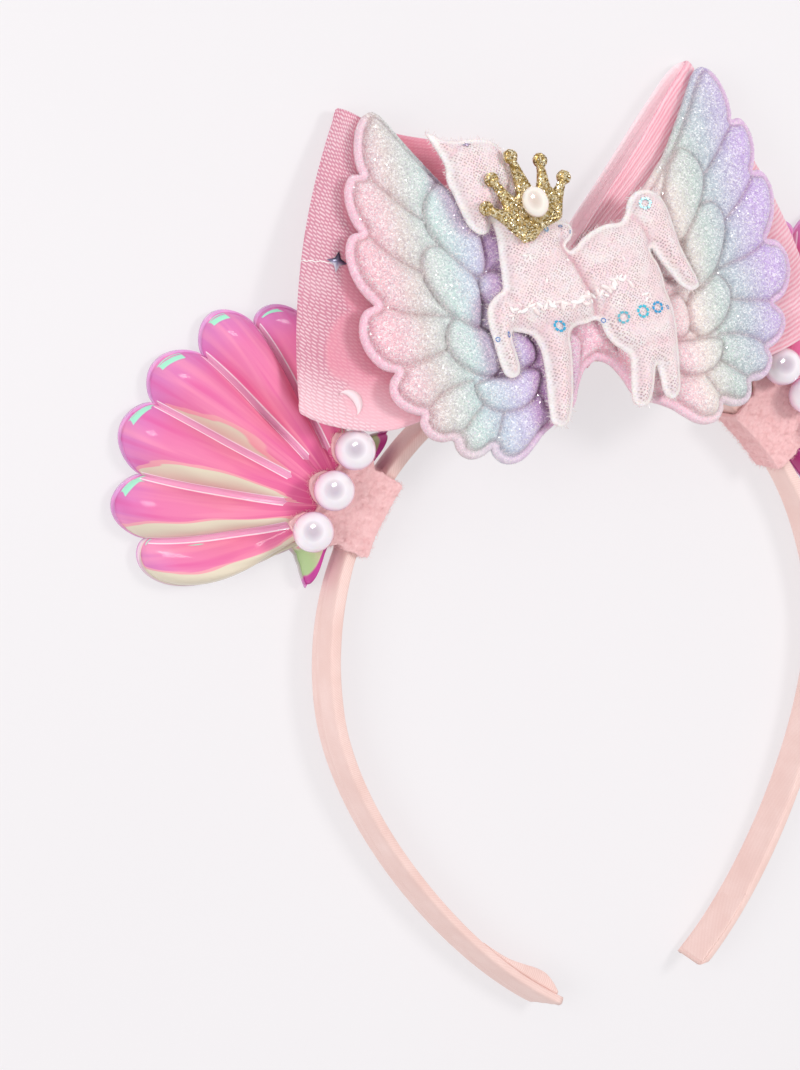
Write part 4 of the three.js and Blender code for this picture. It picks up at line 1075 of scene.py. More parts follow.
# A flat-backed relief: depth is the distance inside its outline, level its front face in the pad's frame
def makeRelief(name, cell, box, depth, level, edge, back, material, marks=None):
    gridU, gridV = np.meshgrid(np.arange(box[0], box[1], cell), np.arange(box[2], box[3], cell), indexing="ij")
    kept = depth(gridU[:-1, :-1] + cell / 2, gridV[:-1, :-1] + cell / 2) > 0
    for i, j in np.argwhere((kept[:-1, :-1] == kept[1:, 1:]) & (kept[1:, :-1] == kept[:-1, 1:])
                            & (kept[:-1, :-1] != kept[1:, :-1])):
        kept[i:i + 2, j:j + 2] = True  # no two cells meet at a corner alone
    uses = np.zeros(gridU.shape, int)
    for i, j in ((0, 0), (0, 1), (1, 0), (1, 1)):
        uses[i:uses.shape[0] - 1 + i, j:uses.shape[1] - 1 + j] += kept
    used = uses > 0
    rim = (uses < 4)[used]
    number = np.full(gridU.shape, -1)
    number[used] = np.arange(used.sum())
    u, v = gridU[used], gridV[used]
    front = level(gridU, gridV)[used]
    nudge, rounds = 0.05, 5
    for k in range(rounds):  # rim points settle on the outline
        ru, rv = u[rim], v[rim]
        du = (depth(ru + nudge, rv) - depth(ru - nudge, rv)) / (2 * nudge)
        dv = (depth(ru, rv + nudge) - depth(ru, rv - nudge)) / (2 * nudge)
        pull = np.clip(depth(ru, rv) / np.maximum(du * du + dv * dv, 0.3), -0.4 * cell, 0.4 * cell)
        u[rim], v[rim] = ru - pull * du, rv - pull * dv
    front[rim] = edge
    total = len(u)
    i, j = np.argwhere(kept).T
    quad = np.column_stack([number[i, j], number[i + 1, j], number[i + 1, j + 1], number[i, j + 1]])
    faces = quad.tolist() + (quad[:, ::-1] + total).tolist()
    wide = np.pad(kept, 1)
    sides = ((0, -1, (0, 0), (1, 0)), (1, 0, (1, 0), (1, 1)), (0, 1, (1, 1), (0, 1)), (-1, 0, (0, 1), (0, 0)))
    for di, dj, a, b in sides:
        bare = ~wide[i + 1 + di, j + 1 + dj]
        p = number[i[bare] + a[0], j[bare] + a[1]]
        q = number[i[bare] + b[0], j[bare] + b[1]]
        faces += np.column_stack([p, p + total, q + total, q]).tolist()
    points = np.vstack([padPoint(u, v, front), padPoint(u, v, np.full(total, back))])
    cloth = np.column_stack([np.r_[u, u], np.r_[v, v]])
    laid = {key: np.r_[mark(gridU, gridV)[used], np.zeros(total)] for key, mark in (marks or {}).items()}
    return makePiece(name, points, faces, material, cloth, laid)


def blur(field, times):
    for k in range(times):
        field = np.pad(field, 1, mode="edge")
        field = (field[:-2, 1:-1] + field[2:, 1:-1] + field[1:-1, :-2] + field[1:-1, 2:] + 4 * field[1:-1, 1:-1]) / 8
    return field


# Cut line of the unicorn in the pad's frame, from the horn's tip down its front and round
plushOutline = [
    (-30.3, 33), (-28.6, 28.8), (-27.4, 25.4), (-27.7, 22.4), (-26.8, 18.8), (-25.9, 15.2), (-24.8, 12), (-23, 10.3),
    (-21.3, 10.2), (-20.2, 11.4), (-19.8, 12.6), (-19.2, 9.5), (-19.5, 5), (-19.9, 0.5), (-20.3, -1.8), (-22.6, -3.2),
    (-24.4, -5), (-25, -8), (-24.6, -13), (-24.2, -17.5), (-23.4, -19.8), (-21.8, -20.4), (-20.4, -19.6),
    (-20.1, -16.5), (-20.5, -12.8), (-20.2, -11), (-18.2, -11.4), (-16, -12.4), (-14.8, -14.5), (-14.4, -18),
    (-14.8, -23), (-15.4, -28.5), (-15.3, -31.2), (-13.7, -32.3), (-11.8, -31.8), (-10.2, -29), (-8.6, -23),
    (-7.6, -17), (-7.2, -13.4), (-5.5, -12.1), (-3, -12), (-1, -11.6), (0.4, -12.2), (1, -14.5), (2.4, -17.2),
    (4.4, -19), (5.6, -20.4), (5.3, -23.5), (4.4, -28), (4.3, -30.2), (5.6, -31.4), (7.8, -31), (9.4, -28.5),
    (10.6, -25.2), (11.3, -23.4), (11.7, -26), (11.8, -28.8), (12.6, -30.6), (14.1, -31), (15.6, -29.8), (16.6, -25.5),
    (17.5, -19.5), (18.1, -14), (17.8, -10.2), (17.2, -7.6), (17.2, -5), (16.6, -2), (15.5, 0.6), (15.8, 1.6),
    (17.2, -1.2), (19.2, -4.6), (21.2, -7.6), (23.2, -8.9), (25.2, -8.5), (25.4, -7), (24.2, -3.3), (22.9, 1),
    (22.2, 5.5), (21.6, 9.4), (20.4, 12.2), (18, 13.9), (15.2, 14), (12.8, 12.4), (11.4, 9.6), (9.6, 8), (6.8, 8.1),
    (3.4, 7.4), (0.4, 6), (-1.8, 4.4), (-3.2, 3.8), (-4, 5.0), (-2.6, 6.2), (-1.8, 7.8), (-2.2, 9.4), (-3.6, 10.2),
    (-6, 10.6), (-8, 12), (-9.5, 15), (-10.8, 19), (-12.2, 22.8), (-13.8, 26.8), (-16.4, 29.2), (-19.5, 30),
    (-22.6, 30.1), (-25.2, 30.4), (-27.6, 31.2)]
plushRing = closedCurve(plushOutline, 3)


# Wings: stuffed feathers side by side, an inner row sewn over their roots, and a flat rim outside
wingShape = {"cell": 0.4, "back": -2.0, "rim": 1.7, "rimTop": -0.8, "rimRound": 0.6, "low": -0.5, "crest": 2.2,
             "round": 3.2, "innerLow": 0.7, "innerCrest": 3.0, "innerRound": 2.8, "pucker": 0.1, "topRim": 1.25,
             "box": (-54, 54, -40, 42), "edge": -1.1, "crease": 0.75, "creaseHalf": 0.4, "rimPale": 0.45, "plum": 0.6}
# left half of the rim, one row for each scallop, from the middle of the top to the middle of the bottom
wingScallops = [
    [(0, -4), (-14, 9.5), (-26, 21.4)],
    [(-26, 21.4), (-28.2, 24.4), (-33, 31.4), (-36.4, 36.8), (-38, 38.8), (-39.4, 39.5), (-41.4, 38.8), (-43.2, 36.5),
     (-44.3, 33.5), (-44.8, 30.5), (-44.7, 28.2), (-44.4, 27)],
    [(-44.4, 27), (-46.6, 27.1), (-48.1, 25.2), (-48.8, 22.2), (-48.6, 19.2), (-47.9, 16.7), (-47.1, 15.2)],
    [(-47.1, 15.2), (-49.1, 15), (-50.4, 13.4), (-51.1, 11), (-51, 8), (-50.3, 5), (-49, 2.3), (-47.2, -0.2)],
    [(-47.2, -0.2), (-49.6, -0.9), (-51.1, -3), (-51.7, -6), (-51.2, -9), (-49.8, -11.8), (-47.8, -13.8),
     (-45.7, -14.6)],
    [(-45.7, -14.6), (-47.1, -16.1), (-47.7, -18.3), (-47, -20.7), (-45.2, -22.7), (-43.3, -23.8), (-41.9, -24.3)],
    [(-41.9, -24.3), (-42.5, -25.8), (-42, -27.8), (-40.6, -29.6), (-38.3, -30.6), (-36.4, -30.6), (-35.8, -30.9)],
    [(-35.8, -30.9), (-35.8, -32.2), (-34.9, -34.1), (-32.8, -35.3), (-30.5, -35.1), (-28.1, -34)],
    [(-28.1, -34), (-27.7, -35.6), (-26, -37.4), (-23.5, -37.9), (-20.8, -37.1), (-18.2, -35.2), (-15.8, -33.2),
     (-13, -31.6)],
    [(-13, -31.6), (-9.5, -30), (-7, -28), (-5.5, -24.8), (-3, -21.1), (0, -19.6)]]
# sewn lines between the outer feathers
wingSeams = [
    [(-43.8, 26.2), (-41, 23.2), (-38.4, 20.1), (-35.6, 17.2), (-33.4, 15.4)],
    [(-46.4, 14.7), (-44, 11.4), (-41, 8.4), (-38.2, 6.2), (-36, 4.8)],
    [(-46.4, -0.4), (-43, -2.4), (-39.5, -3.6), (-35.4, -4.4), (-31.6, -5.4)],
    [(-45, -14.3), (-42, -13.6), (-38, -12.9), (-34, -12)],
    [(-41.4, -23.8), (-38, -21.2), (-34.4, -19.7), (-29.6, -19.2)],
    [(-35.5, -30.4), (-33, -28.2), (-30.4, -26), (-28.4, -24.6)],
    [(-27.8, -33.5), (-26.4, -31), (-25.2, -28.6), (-24.2, -26.9)],
    [(-13, -31), (-14.6, -27), (-15.6, -23)]]
# cut lines of the inner feathers
innerFeathers = [
    [(-29.3, 22.2), (-31.5, 20.6), (-33, 17.8), (-33.3, 15.2), (-32.6, 12.4), (-31, 9.5), (-29, 6.7), (-26.8, 4.1),
     (-24.9, 2.3), (-23.3, 2.1), (-22, 4), (-21.6, 7.5), (-22, 11), (-23.5, 14.5), (-25.2, 18.5), (-27, 21.6)],
    [(-34, 9.6), (-35.8, 7.5), (-36.2, 4.6), (-35.4, 1.5), (-34, -1.6), (-32, -4.6), (-29.8, -7), (-28, -8.1),
     (-26.4, -8.9), (-25.2, -7), (-24.6, -4), (-24.4, -0.5), (-25, 2), (-27, 4.4), (-29.2, 7), (-31.4, 9.4)],
    [(-21.8, 2.6), (-23.6, 1.7), (-24.4, -0.6), (-24, -3.6), (-22, -5.6), (-19, -5), (-17, -2), (-17.6, 1),
     (-19.6, 2.4)],
    [(-31.2, -5.9), (-33.3, -8), (-34.1, -11), (-33, -14), (-30.8, -16.6), (-28, -18.4), (-25, -19.1), (-23, -17.2),
     (-22.6, -13), (-24.6, -9.4), (-27.4, -8)],
    [(-29.6, -20.4), (-29, -23.4), (-27, -25.8), (-24, -26.9), (-20.5, -26.8), (-17.4, -25.4), (-15.4, -22.8),
     (-14.6, -20), (-17, -18.9), (-22, -19.3), (-26, -19.4)],
    [(-21.5, -9), (-18.5, -9.6), (-16, -11.6), (-14.6, -14.6), (-15.2, -17.6), (-18, -18.6), (-21.4, -18), (-23, -14)],
    [(-7, -12.5), (-9.4, -14.5), (-10, -19), (-9.6, -24), (-8.2, -26.6), (-6.6, -24.5), (-5, -19.5), (-4, -14.5)]]


def wingRim():
    left = np.vstack([smoothCurve(scallop, np.linspace(0, 1, 4 * len(scallop)))[:-1] for scallop in wingScallops])
    return np.vstack([left, wingScallops[-1][-1:], left[:0:-1] * (-1, 1)])


wingRing = wingRim()
innerRings = [closedCurve(feather, 3) for feather in innerFeathers]


def dome(share):
    return np.sqrt(1 - (1 - np.clip(share, 0, 1)) ** 2)


def lineField(u, v, line):
    return np.minimum.reduce([strokeField(u, v, (*a, 1, *b, 1))[0] for a, b in zip(line, line[1:])])


def wingDepth(u, v):
    return outlineField(u, v, wingRing)


# 0 along the straight top edges, where the sewn rim is thin, and 1 round the scallops
def scalloped(u, v):
    top = [*wingScallops[0], *wingScallops[1][1:6]]
    return smoothstep(lineField(-np.abs(u), v, top), 1.5, 3.0)


def rimWidth(u, v):
    return lerp(wingShape["topRim"], wingShape["rim"], scalloped(u, v))


# Face of the wings, and how near each point is to a seam; both wings are read off the left one
def wingFace(u, v):
    look = wingShape
    u = -np.abs(u)
    depth = wingDepth(u, v)
    seam = np.minimum.reduce([lineField(u, v, line) for line in wingSeams])
    inner = [outlineField(u, v, ring) for ring in innerRings]
    wide = rimWidth(u, v)
    nearest = np.minimum.reduce([seam, depth - wide] + [np.abs(field) for field in inner])
    level = look["low"] + (look["crest"] - look["low"]) * dome(nearest / look["round"])
    for field in inner:
        raised = look["innerLow"] + (look["innerCrest"] - look["innerLow"]) * dome(field / look["innerRound"])
        level = np.where(field > 0, np.maximum(level, raised), level)
    rim = look["rimTop"] + look["rimRound"] * np.sin(np.pi * np.clip(depth / wide, 0, 1))
    level = np.where(depth < wide, rim, level)
    return level, nearest


def wingLevel(u, v):
    level, nearest = wingFace(u, v)
    pucker = np.sin(u * 1.7 + np.sin(v * 1.1)) * np.sin(v * 1.9 + 0.6 * u)
    return blur(level + wingShape["pucker"] * pucker * smoothstep(nearest, 0, 2), 1)


# Painted shade along the seams and creases between feathers
def wingCreaseShade(u, v):
    return wingShape["crease"] * np.exp(-(wingFace(u, v)[1] / wingShape["creaseHalf"]) ** 2)


# The flat sewn rim takes less glitter
def wingEdge(u, v):
    wide = rimWidth(u, v)
    return wingShape["rimPale"] * (1 - smoothstep(wingDepth(u, v), wide - 0.5, wide)) * scalloped(u, v)


# Painted plum shadow of the unicorn on the lining, cast to its left
def wingShade(u, v):
    intoShadow = np.maximum(outlineField(u, v, plushRing), outlineField(u + 2.6, v - 0.6, plushRing))
    return wingShape["plum"] * smoothstep(intoShadow, -2.0, 1.0) * smoothstep(u, 0, -9)


wings = makeRelief("padded_wings", wingShape["cell"], wingShape["box"], wingDepth, wingLevel, wingShape["edge"],
                   wingShape["back"], glitterCloth, {"crease": wingCreaseShade, "shade": wingShade, "rim": wingEdge})
settle(wings, "glitter", "wings")
print("wings ready")

makeKnot()
for side, word in ((-1, "left"), (1, "right")):
    length, width = makeLoop(side, "tulle_loop_" + word, "bow_loop_" + word)
    print(f"{word} loop: ribbon {length:.1f} mm long and {width:.1f} mm wide")


# Glitter: thin square flakes strewn on a face, each tipped a little and with a tone of its own
def flakeTree(material):
    tree, given = startTree("strewn " + material.name, {
        "Per square metre": ("Float", 1.0), "Size": ("Float", 1.0), "Tip": ("Float", 0.3), "Lift": ("Float", 0.0),
        "Seed": ("Int", 0)})
    facing = addNode(tree, "GeometryNodeInputNormal")
    out = addNode(tree, "ShaderNodeVectorMath", {"operation": "DOT_PRODUCT", 1: tuple(padAxes[2])}, {0: facing})
    front = addNode(tree, "ShaderNodeMath", {"operation": "GREATER_THAN", 1: 0.05}, {0: (out, "Value")})
    spots = addNode(tree, "GeometryNodeDistributePointsOnFaces", links={
        "Mesh": (given, "Geometry"), "Selection": front, "Density": (given, "Per square metre"),
        "Seed": (given, "Seed")})
    flake = addNode(tree, "GeometryNodeMeshCylinder", {"fill_type": "NGON", "Vertices": 4, "Depth": 0.03 * mm},
                    {"Radius": (given, "Size")})
    downTip = addNode(tree, "ShaderNodeMath", {"operation": "MULTIPLY", 1: -1.0}, {0: (given, "Tip")})
    low = addNode(tree, "ShaderNodeCombineXYZ", {"Z": -3.0}, {"X": downTip, "Y": downTip})
    high = addNode(tree, "ShaderNodeCombineXYZ", {"Z": 3.0}, {"X": (given, "Tip"), "Y": (given, "Tip")})
    tip = addNode(tree, "FunctionNodeRandomValue", {"data_type": "FLOAT_VECTOR"},
                  {0: low, 1: high, "Seed": (given, "Seed")})
    lay = turnOn(tree, (spots, "Rotation"), tip)
    size = addNode(tree, "FunctionNodeRandomValue", {"data_type": "FLOAT", 2: 0.55, 3: 1.3}, {"Seed": (given, "Seed")})
    strewn = addNode(tree, "GeometryNodeInstanceOnPoints", links={
        "Points": (spots, "Points"), "Instance": flake, "Rotation": lay, "Scale": (size, 1)})
    rise = addNode(tree, "ShaderNodeCombineXYZ", links={"Z": (given, "Lift")})
    lifted = addNode(tree, "GeometryNodeTranslateInstances", links={"Instances": strewn, "Translation": rise})
    chance = addNode(tree, "FunctionNodeRandomValue", {"data_type": "FLOAT"}, {"Seed": (given, "Seed")})
    toned = addNode(tree, "GeometryNodeStoreNamedAttribute", {
        "data_type": "FLOAT", "domain": "INSTANCE", "Name": "tone"}, {"Geometry": lifted, "Value": (chance, 1)})
    return closeTree(tree, toned, material)


def strew(name, slot, carrier, material, look):
    flakes = grow(name, carrier, flakeTree(material), {
        "Per square metre": look["perMm2"] * 1e6, "Size": look["size"] * mm, "Tip": look["tip"],
        "Lift": look["lift"] * mm, "Seed": look["seed"]}, keepCarrier=True)
    settle(flakes, slot)


wingGlitter = {"perMm2": 2.4, "size": 0.11, "tip": 0.4, "lift": 0.06, "seed": 11}
strew("wing_glitter", "glitter", wings, paleFlake, wingGlitter)
print("wing glitter ready")


# Unicorn: a stuffed cut-out of dotted tulle with a thin sewn edge
plushLook = {"cell": 0.36, "back": 3.3, "edge": 4.0, "flange": 0.75, "rise": 5.2, "crest": 3.8, "rimLevel": 3.75,
             "least": 0.45, "hem": 0.75, "fold": 0.4, "foldMost": 0.8, "wrinkle": 0.13, "crinkle": 0.10,
             "box": (-32, 28, -35, 35)}
# pressed lines: points along each, then its depth and half-width
plushCreases = [([(11.6, 9.4), (13.6, 6.4), (15.4, 1.8)], 1.3, 0.8), ([(0.2, -12), (1.4, -8.6), (3.2, -6.6)], 1.0, 0.9),
                ([(-15.2, -13), (-12.4, -10.6), (-8.6, -11.2), (-7, -13)], 0.8, 0.9),
                ([(-20.3, -2.2), (-18.4, -5.6), (-18.6, -9.6)], 0.8, 0.8),
                ([(-19.8, 12.4), (-17.6, 15.5), (-15.8, 18.6)], 1.0, 0.8), ([(-27.2, 26.4), (-24.4, 28.6)], 0.9, 0.6),
                ([(-5.4, 5.2), (-3.4, 0.4), (-1.6, -5.2), (-0.4, -11.6)], 1.9, 1.0),
                ([(-3.6, 4.4), (-5.4, 6.6), (-5.2, 9.8)], 1.0, 0.7),
                ([(4.8, -20.6), (9.4, -18.4), (13.4, -18.8)], 0.5, 0.9)]
# beads and loose ends under the tulle: u, v, radius, height
plushLumps = [(-16.5, -6.6, 1.1, 0.5), (-13.4, -7.4, 1.3, 0.6), (-10.4, -6.9, 1.0, 0.5), (-7.2, -7.6, 1.2, 0.6),
              (-4.0, -7.0, 1.1, 0.5), (-0.8, -7.4, 1.2, 0.5), (2.6, -6.8, 1.0, 0.4), (6.0, -7.2, 1.2, 0.5),
              (9.0, -3.0, 2.6, 0.4), (-9.0, 1.0, 3.0, 0.35), (18.6, 9.6, 1.8, 0.5), (20.6, 2.0, 1.5, 0.4)]


def plushDepth(u, v):
    return outlineField(u, v, plushRing)


# How far a spot is into each pressed line, from 0 beside it to 1 in its middle
def pressed(u, v):
    return [(depth, np.exp(-(lineField(u, v, line) / half) ** 2)) for line, depth, half in plushCreases]


# Painted shade in the pressed lines, strongest in their middles
def plushCreaseShade(u, v):
    look = plushLook
    return np.clip(sum(look["fold"] * depth * share ** 3 for depth, share in pressed(u, v)), 0, look["foldMost"])


def plushLevel(u, v):
    look = plushLook
    plump = dome((plushDepth(u, v) - look["flange"]) / look["rise"])
    level = look["edge"] - look["back"] + (look["crest"] - look["edge"] + look["back"]) * plump
    for depth, share in pressed(u, v):
        level = level - depth * share * plump
    for lu, lv, radius, height in plushLumps:
        level = level + height * np.exp(-(((u - lu) ** 2 + (v - lv) ** 2) / radius ** 2))
    wrinkle = look["wrinkle"] * np.sin(1.9 * u + 1.2 * np.sin(0.7 * v)) * np.sin(1.4 * v - 0.8 * u)
    crinkle = np.sin(3.7 * u + 2.1 * np.sin(1.3 * v + 0.4 * u)) * np.sin(2.9 * v + 1.7 * np.sin(0.9 * u))
    face = blur(level + wrinkle * plump, 3) + look["crinkle"] * crinkle * plump
    return look["back"] + np.maximum(face, look["least"])


# The cut edge is gathered in a pale, close-stitched hem
def plushHem(u, v):
    return plushLook["hem"] * (1 - smoothstep(plushDepth(u, v), 0.6, 1.3))


plush = makeRelief("plush_unicorn", plushLook["cell"], plushLook["box"], plushDepth, plushLevel,
                   plushLook["rimLevel"], plushLook["back"], tulle, {"hem": plushHem, "fold": plushCreaseShade})
settle(plush, "plush", "unicorn")
print("unicorn ready")


# Height of the unicorn's face at a place, and the way it faces there
plushGrid = [np.arange(low, high, plushLook["cell"]) for low, high in (plushLook["box"][:2], plushLook["box"][2:])]
plushHeights = plushLevel(*np.meshgrid(*plushGrid, indexing="ij"))


def plushTop(u, v):
    i, j = (u - plushGrid[0][0]) / plushLook["cell"], (v - plushGrid[1][0]) / plushLook["cell"]
    a, b = int(i), int(j)
    near, far = (lerp(plushHeights[k, b], plushHeights[k, b + 1], j - b) for k in (a, a + 1))
    return lerp(near, far, i - a)


def onPlush(u, v, lift):
    step = 0.5
    lean = np.array([(plushTop(u - step, v) - plushTop(u + step, v)) / (2 * step),
                     (plushTop(u, v - step) - plushTop(u, v + step)) / (2 * step), 1.0])
    facing = lean / np.linalg.norm(lean) @ padAxes
    return padPoint(u, v, plushTop(u, v)) + facing * lift, facing


# Small trims set on points: each point says which way its trim faces, its spin, size and tone
def trimTree(name, material, inputs, makeShape):
    tree, given = startTree(name, inputs)
    facing = addNode(tree, "GeometryNodeInputNamedAttribute", {"data_type": "FLOAT_VECTOR", "Name": "facing"})
    spin = addNode(tree, "GeometryNodeInputNamedAttribute", {"data_type": "FLOAT", "Name": "spin"})
    size = addNode(tree, "GeometryNodeInputNamedAttribute", {"data_type": "FLOAT", "Name": "size"})
    stand = addNode(tree, "FunctionNodeAlignRotationToVector", {"axis": "Z"}, {"Vector": facing})
    about = addNode(tree, "ShaderNodeCombineXYZ", links={"Z": spin})
    lay = turnOn(tree, stand, about)
    placed = addNode(tree, "GeometryNodeInstanceOnPoints", links={
        "Points": (given, "Geometry"), "Instance": makeShape(tree, given), "Rotation": lay, "Scale": size})
    return closeTree(tree, placed, material)


def dashedRing(tree, given):
    ring = addNode(tree, "GeometryNodeMeshCircle", links={"Vertices": (given, "Dashes"), "Radius": (given, "Radius")})
    number = addNode(tree, "GeometryNodeInputIndex")
    step = addNode(tree, "ShaderNodeMath", {"operation": "DIVIDE", 0: 2 * math.pi}, {1: (given, "Dashes")})
    angle = addNode(tree, "ShaderNodeMath", {"operation": "MULTIPLY"}, {0: number, 1: step})
    about = addNode(tree, "ShaderNodeCombineXYZ", links={"Z": angle})
    turn = addNode(tree, "FunctionNodeEulerToRotation", links={0: about})
    dash = addNode(tree, "GeometryNodeMeshCube", links={"Size": (given, "Dash")})
    around = addNode(tree, "GeometryNodeInstanceOnPoints", links={"Points": ring, "Instance": dash, "Rotation": turn})
    return addNode(tree, "GeometryNodeRealizeInstances", links={"Geometry": around})


def stitchLump(tree, given):
    ball = addNode(tree, "GeometryNodeMeshUVSphere", {"Segments": 10, "Rings": 7}, {"Radius": (given, "Radius")})
    drawn = addNode(tree, "GeometryNodeTransform", {"Scale": (1.0, 0.42, 0.5)}, {"Geometry": ball})
    return addNode(tree, "GeometryNodeSetShadeSmooth", links={0: drawn})


def frayHair(tree, given):
    hair = addNode(tree, "GeometryNodeCurveQuadraticBezier", {
        "Resolution": 4, "Start": (0, 0, -0.3 * mm), "Middle": (0.05 * mm, 0, 0.4 * mm),
        "End": (0.4 * mm, 0.1 * mm, 0.8 * mm)})
    ring = addNode(tree, "GeometryNodeCurvePrimitiveCircle", {"Resolution": 3}, {"Radius": (given, "Radius")})
    return addNode(tree, "GeometryNodeCurveToMesh", {"Fill Caps": True}, {"Curve": hair, "Profile Curve": ring})


def setTrims(name, slot, spots, material, inputs, makeShape):
    places, facing, spin, size, tone = (np.array([spot[k] for spot in spots]) for k in range(5))
    marks = {"facing": facing, "spin": spin, "size": size, "tone": tone}
    carrier = makePiece("spots", places, [], material, marks=marks)
    trims = grow(name, carrier, trimTree(name, material, inputs, makeShape), {})
    settle(trims, slot)


# ring sequins on the tulle: u, v, size, tone; the small ones are loose ends of rings
sequins = [(-10.6, -11.7, 1.0, 0.1), (4.4, -12.3, 0.95, 0.75), (9.0, -11.8, 1.0, 0.35), (12.6, -11.5, 0.9, 0.0),
           (15.1, 10.8, 0.95, 0.6), (-9.2, 8.7, 0.4, 0.0), (-24.0, -12.0, 0.4, 1.0), (-22.0, -11.5, 0.45, 1.0),
           (0.9, -12.0, 0.4, 1.0), (15.3, -11.8, 0.35, 0.9), (-5.0, 9.0, 0.3, 0.95), (-3.0, 7.6, 0.3, 0.9)]
# clear thread drawn through the tulle: a line of lumps along the belly and a few on the chest and rump
stitchLine = [(-21.0, -7.2), (-18.0, -6.4), (-14.5, -7.6), (-11.0, -7.0), (-7.5, -7.8), (-4.0, -6.8), (-1.0, -7.4),
              (2.0, -5.6), (5.0, -4.4), (8.0, -5.0)]


trimLook = {"seed": 7, "dashes": 7, "ring": 1.15, "dash": (0.5, 0.78, 0.18), "lumps": 54, "loose": 26, "lump": 0.8,
            "hairPitch": 0.3, "hair": 0.05}


def makeTrims():
    look = trimLook
    chance = np.random.default_rng(look["seed"])
    rings = [(*onPlush(u, v, 0.1), chance.uniform(0, 6), size, tone) for u, v, size, tone in sequins]
    setTrims("ring_sequins", "plush", rings, blueSequin, {
        "Dashes": ("Int", look["dashes"]), "Radius": ("Float", look["ring"] * mm),
        "Dash": ("Vector", tuple(side * mm for side in look["dash"]))}, dashedRing)
    lumps = []
    for u, v in smoothCurve(stitchLine, np.linspace(0, 1, look["lumps"])):
        u, v = u + chance.normal(0, 0.5), v + chance.normal(0, 0.7)
        lumps.append((*onPlush(u, v, 0.05), chance.uniform(-1.4, 1.4), chance.uniform(0.6, 1.6),
                      chance.uniform(0, 0.8)))
    for k in range(look["loose"]):
        u, v = chance.uniform(-17, 13), chance.uniform(-10, 4)
        if plushDepth(np.array([[u]]), np.array([[v]]))[0, 0] > 2:
            lumps.append((*onPlush(u, v, 0.0), chance.uniform(0, 3), chance.uniform(0.5, 0.9), chance.uniform(0, 1)))
    setTrims("clear_stitches", "plush", lumps, clearThread, {"Radius": ("Float", look["lump"] * mm)}, stitchLump)
    hairs = []
    ends = np.vstack([plushRing, plushRing[:1]])
    run = runAlong(ends)
    for distance in np.arange(0, run[-1], look["hairPitch"]):
        u, v = (np.interp(distance, run, ends[:, k]) for k in (0, 1))
        ahead = np.interp(distance + 0.2, run, ends[:, 0]) - u, np.interp(distance + 0.2, run, ends[:, 1]) - v
        out = np.array([ahead[1], -ahead[0], 0]) / (math.hypot(*ahead) + 1e-6)
        facing = (out + chance.normal(0, 0.45, 3)) @ padAxes
        hairs.append((padPoint(u, v, plushLook["edge"] - chance.uniform(0, 0.5)), facing, chance.uniform(0, 6),
                      chance.uniform(0.4, 1.2), chance.uniform(0, 1)))
    setTrims("frayed_edge", "plush", hairs, clearThread, {"Radius": ("Float", look["hair"] * mm)}, frayHair)


makeTrims()


# Place on the outside of a loop, with the way it faces and two directions along it
def onLoop(side, around, across, lift):
    step = 0.004
    patch = loopSurface(side, around + step * np.array([-1, 0, 1.0]), across + step * np.array([-1, 0, 1.0]))
    ahead = patch[2, 1] - patch[0, 1]
    ahead /= np.linalg.norm(ahead)
    facing = np.cross(ahead, patch[1, 2] - patch[1, 0])
    facing /= np.linalg.norm(facing) * (1 if facing[2] > 0 else -1)
    return patch[1, 1] + facing * (loopLook["wall"] / 2 + lift), facing, ahead


# A thin cut-out with a raised middle: outline in its own plane, put at a place
def makeCutout(name, slot, outline, place, facing, ahead, thick, tones, material):
    aside = np.cross(facing, ahead)
    outline = np.array(outline, float)
    middle = outline.mean(axis=0)
    flat = np.vstack([outline, outline, [middle, middle]])
    count = len(outline)
    high = np.r_[np.full(count, thick), np.zeros(count), 2 * thick, 0]
    points = place + flat[:, :1] * ahead + flat[:, 1:] * aside + high[:, None] * facing
    faces = []
    for j in range(count):
        k = (j + 1) % count
        faces += [(2 * count, j, k), (j, j + count, k + count, k), (2 * count + 1, k + count, j + count)]
    tone = np.r_[np.resize(tones, count), np.resize(tones, count), tones[0], tones[0]]
    settle(makePiece(name, points, faces, material, marks={"tone": tone}), slot)


def starOutline(outer, inner, points):
    turns = np.arange(2 * points) * math.pi / points
    reach = np.where(np.arange(2 * points) % 2, inner, outer)
    return np.column_stack([reach * np.cos(turns), reach * np.sin(turns)])


# Bits on the ribbon: a dark silver star at the end of a pulled thread, and a pale moon; a lilac star on the unicorn
strewn = {"star": (0.366, 0.535, 2.3, 0.95), "thread": ((0.4975, 0.505), (0.372, 0.53)), "moon": (0.356, 0.085, 2.9),
          "lilac": (-22.6, 28.7, 1.6, 0.55), "threadRadius": 0.11, "thick": 0.16, "moonThick": 0.14, "moonDeg": 118,
          "threadSides": 6}


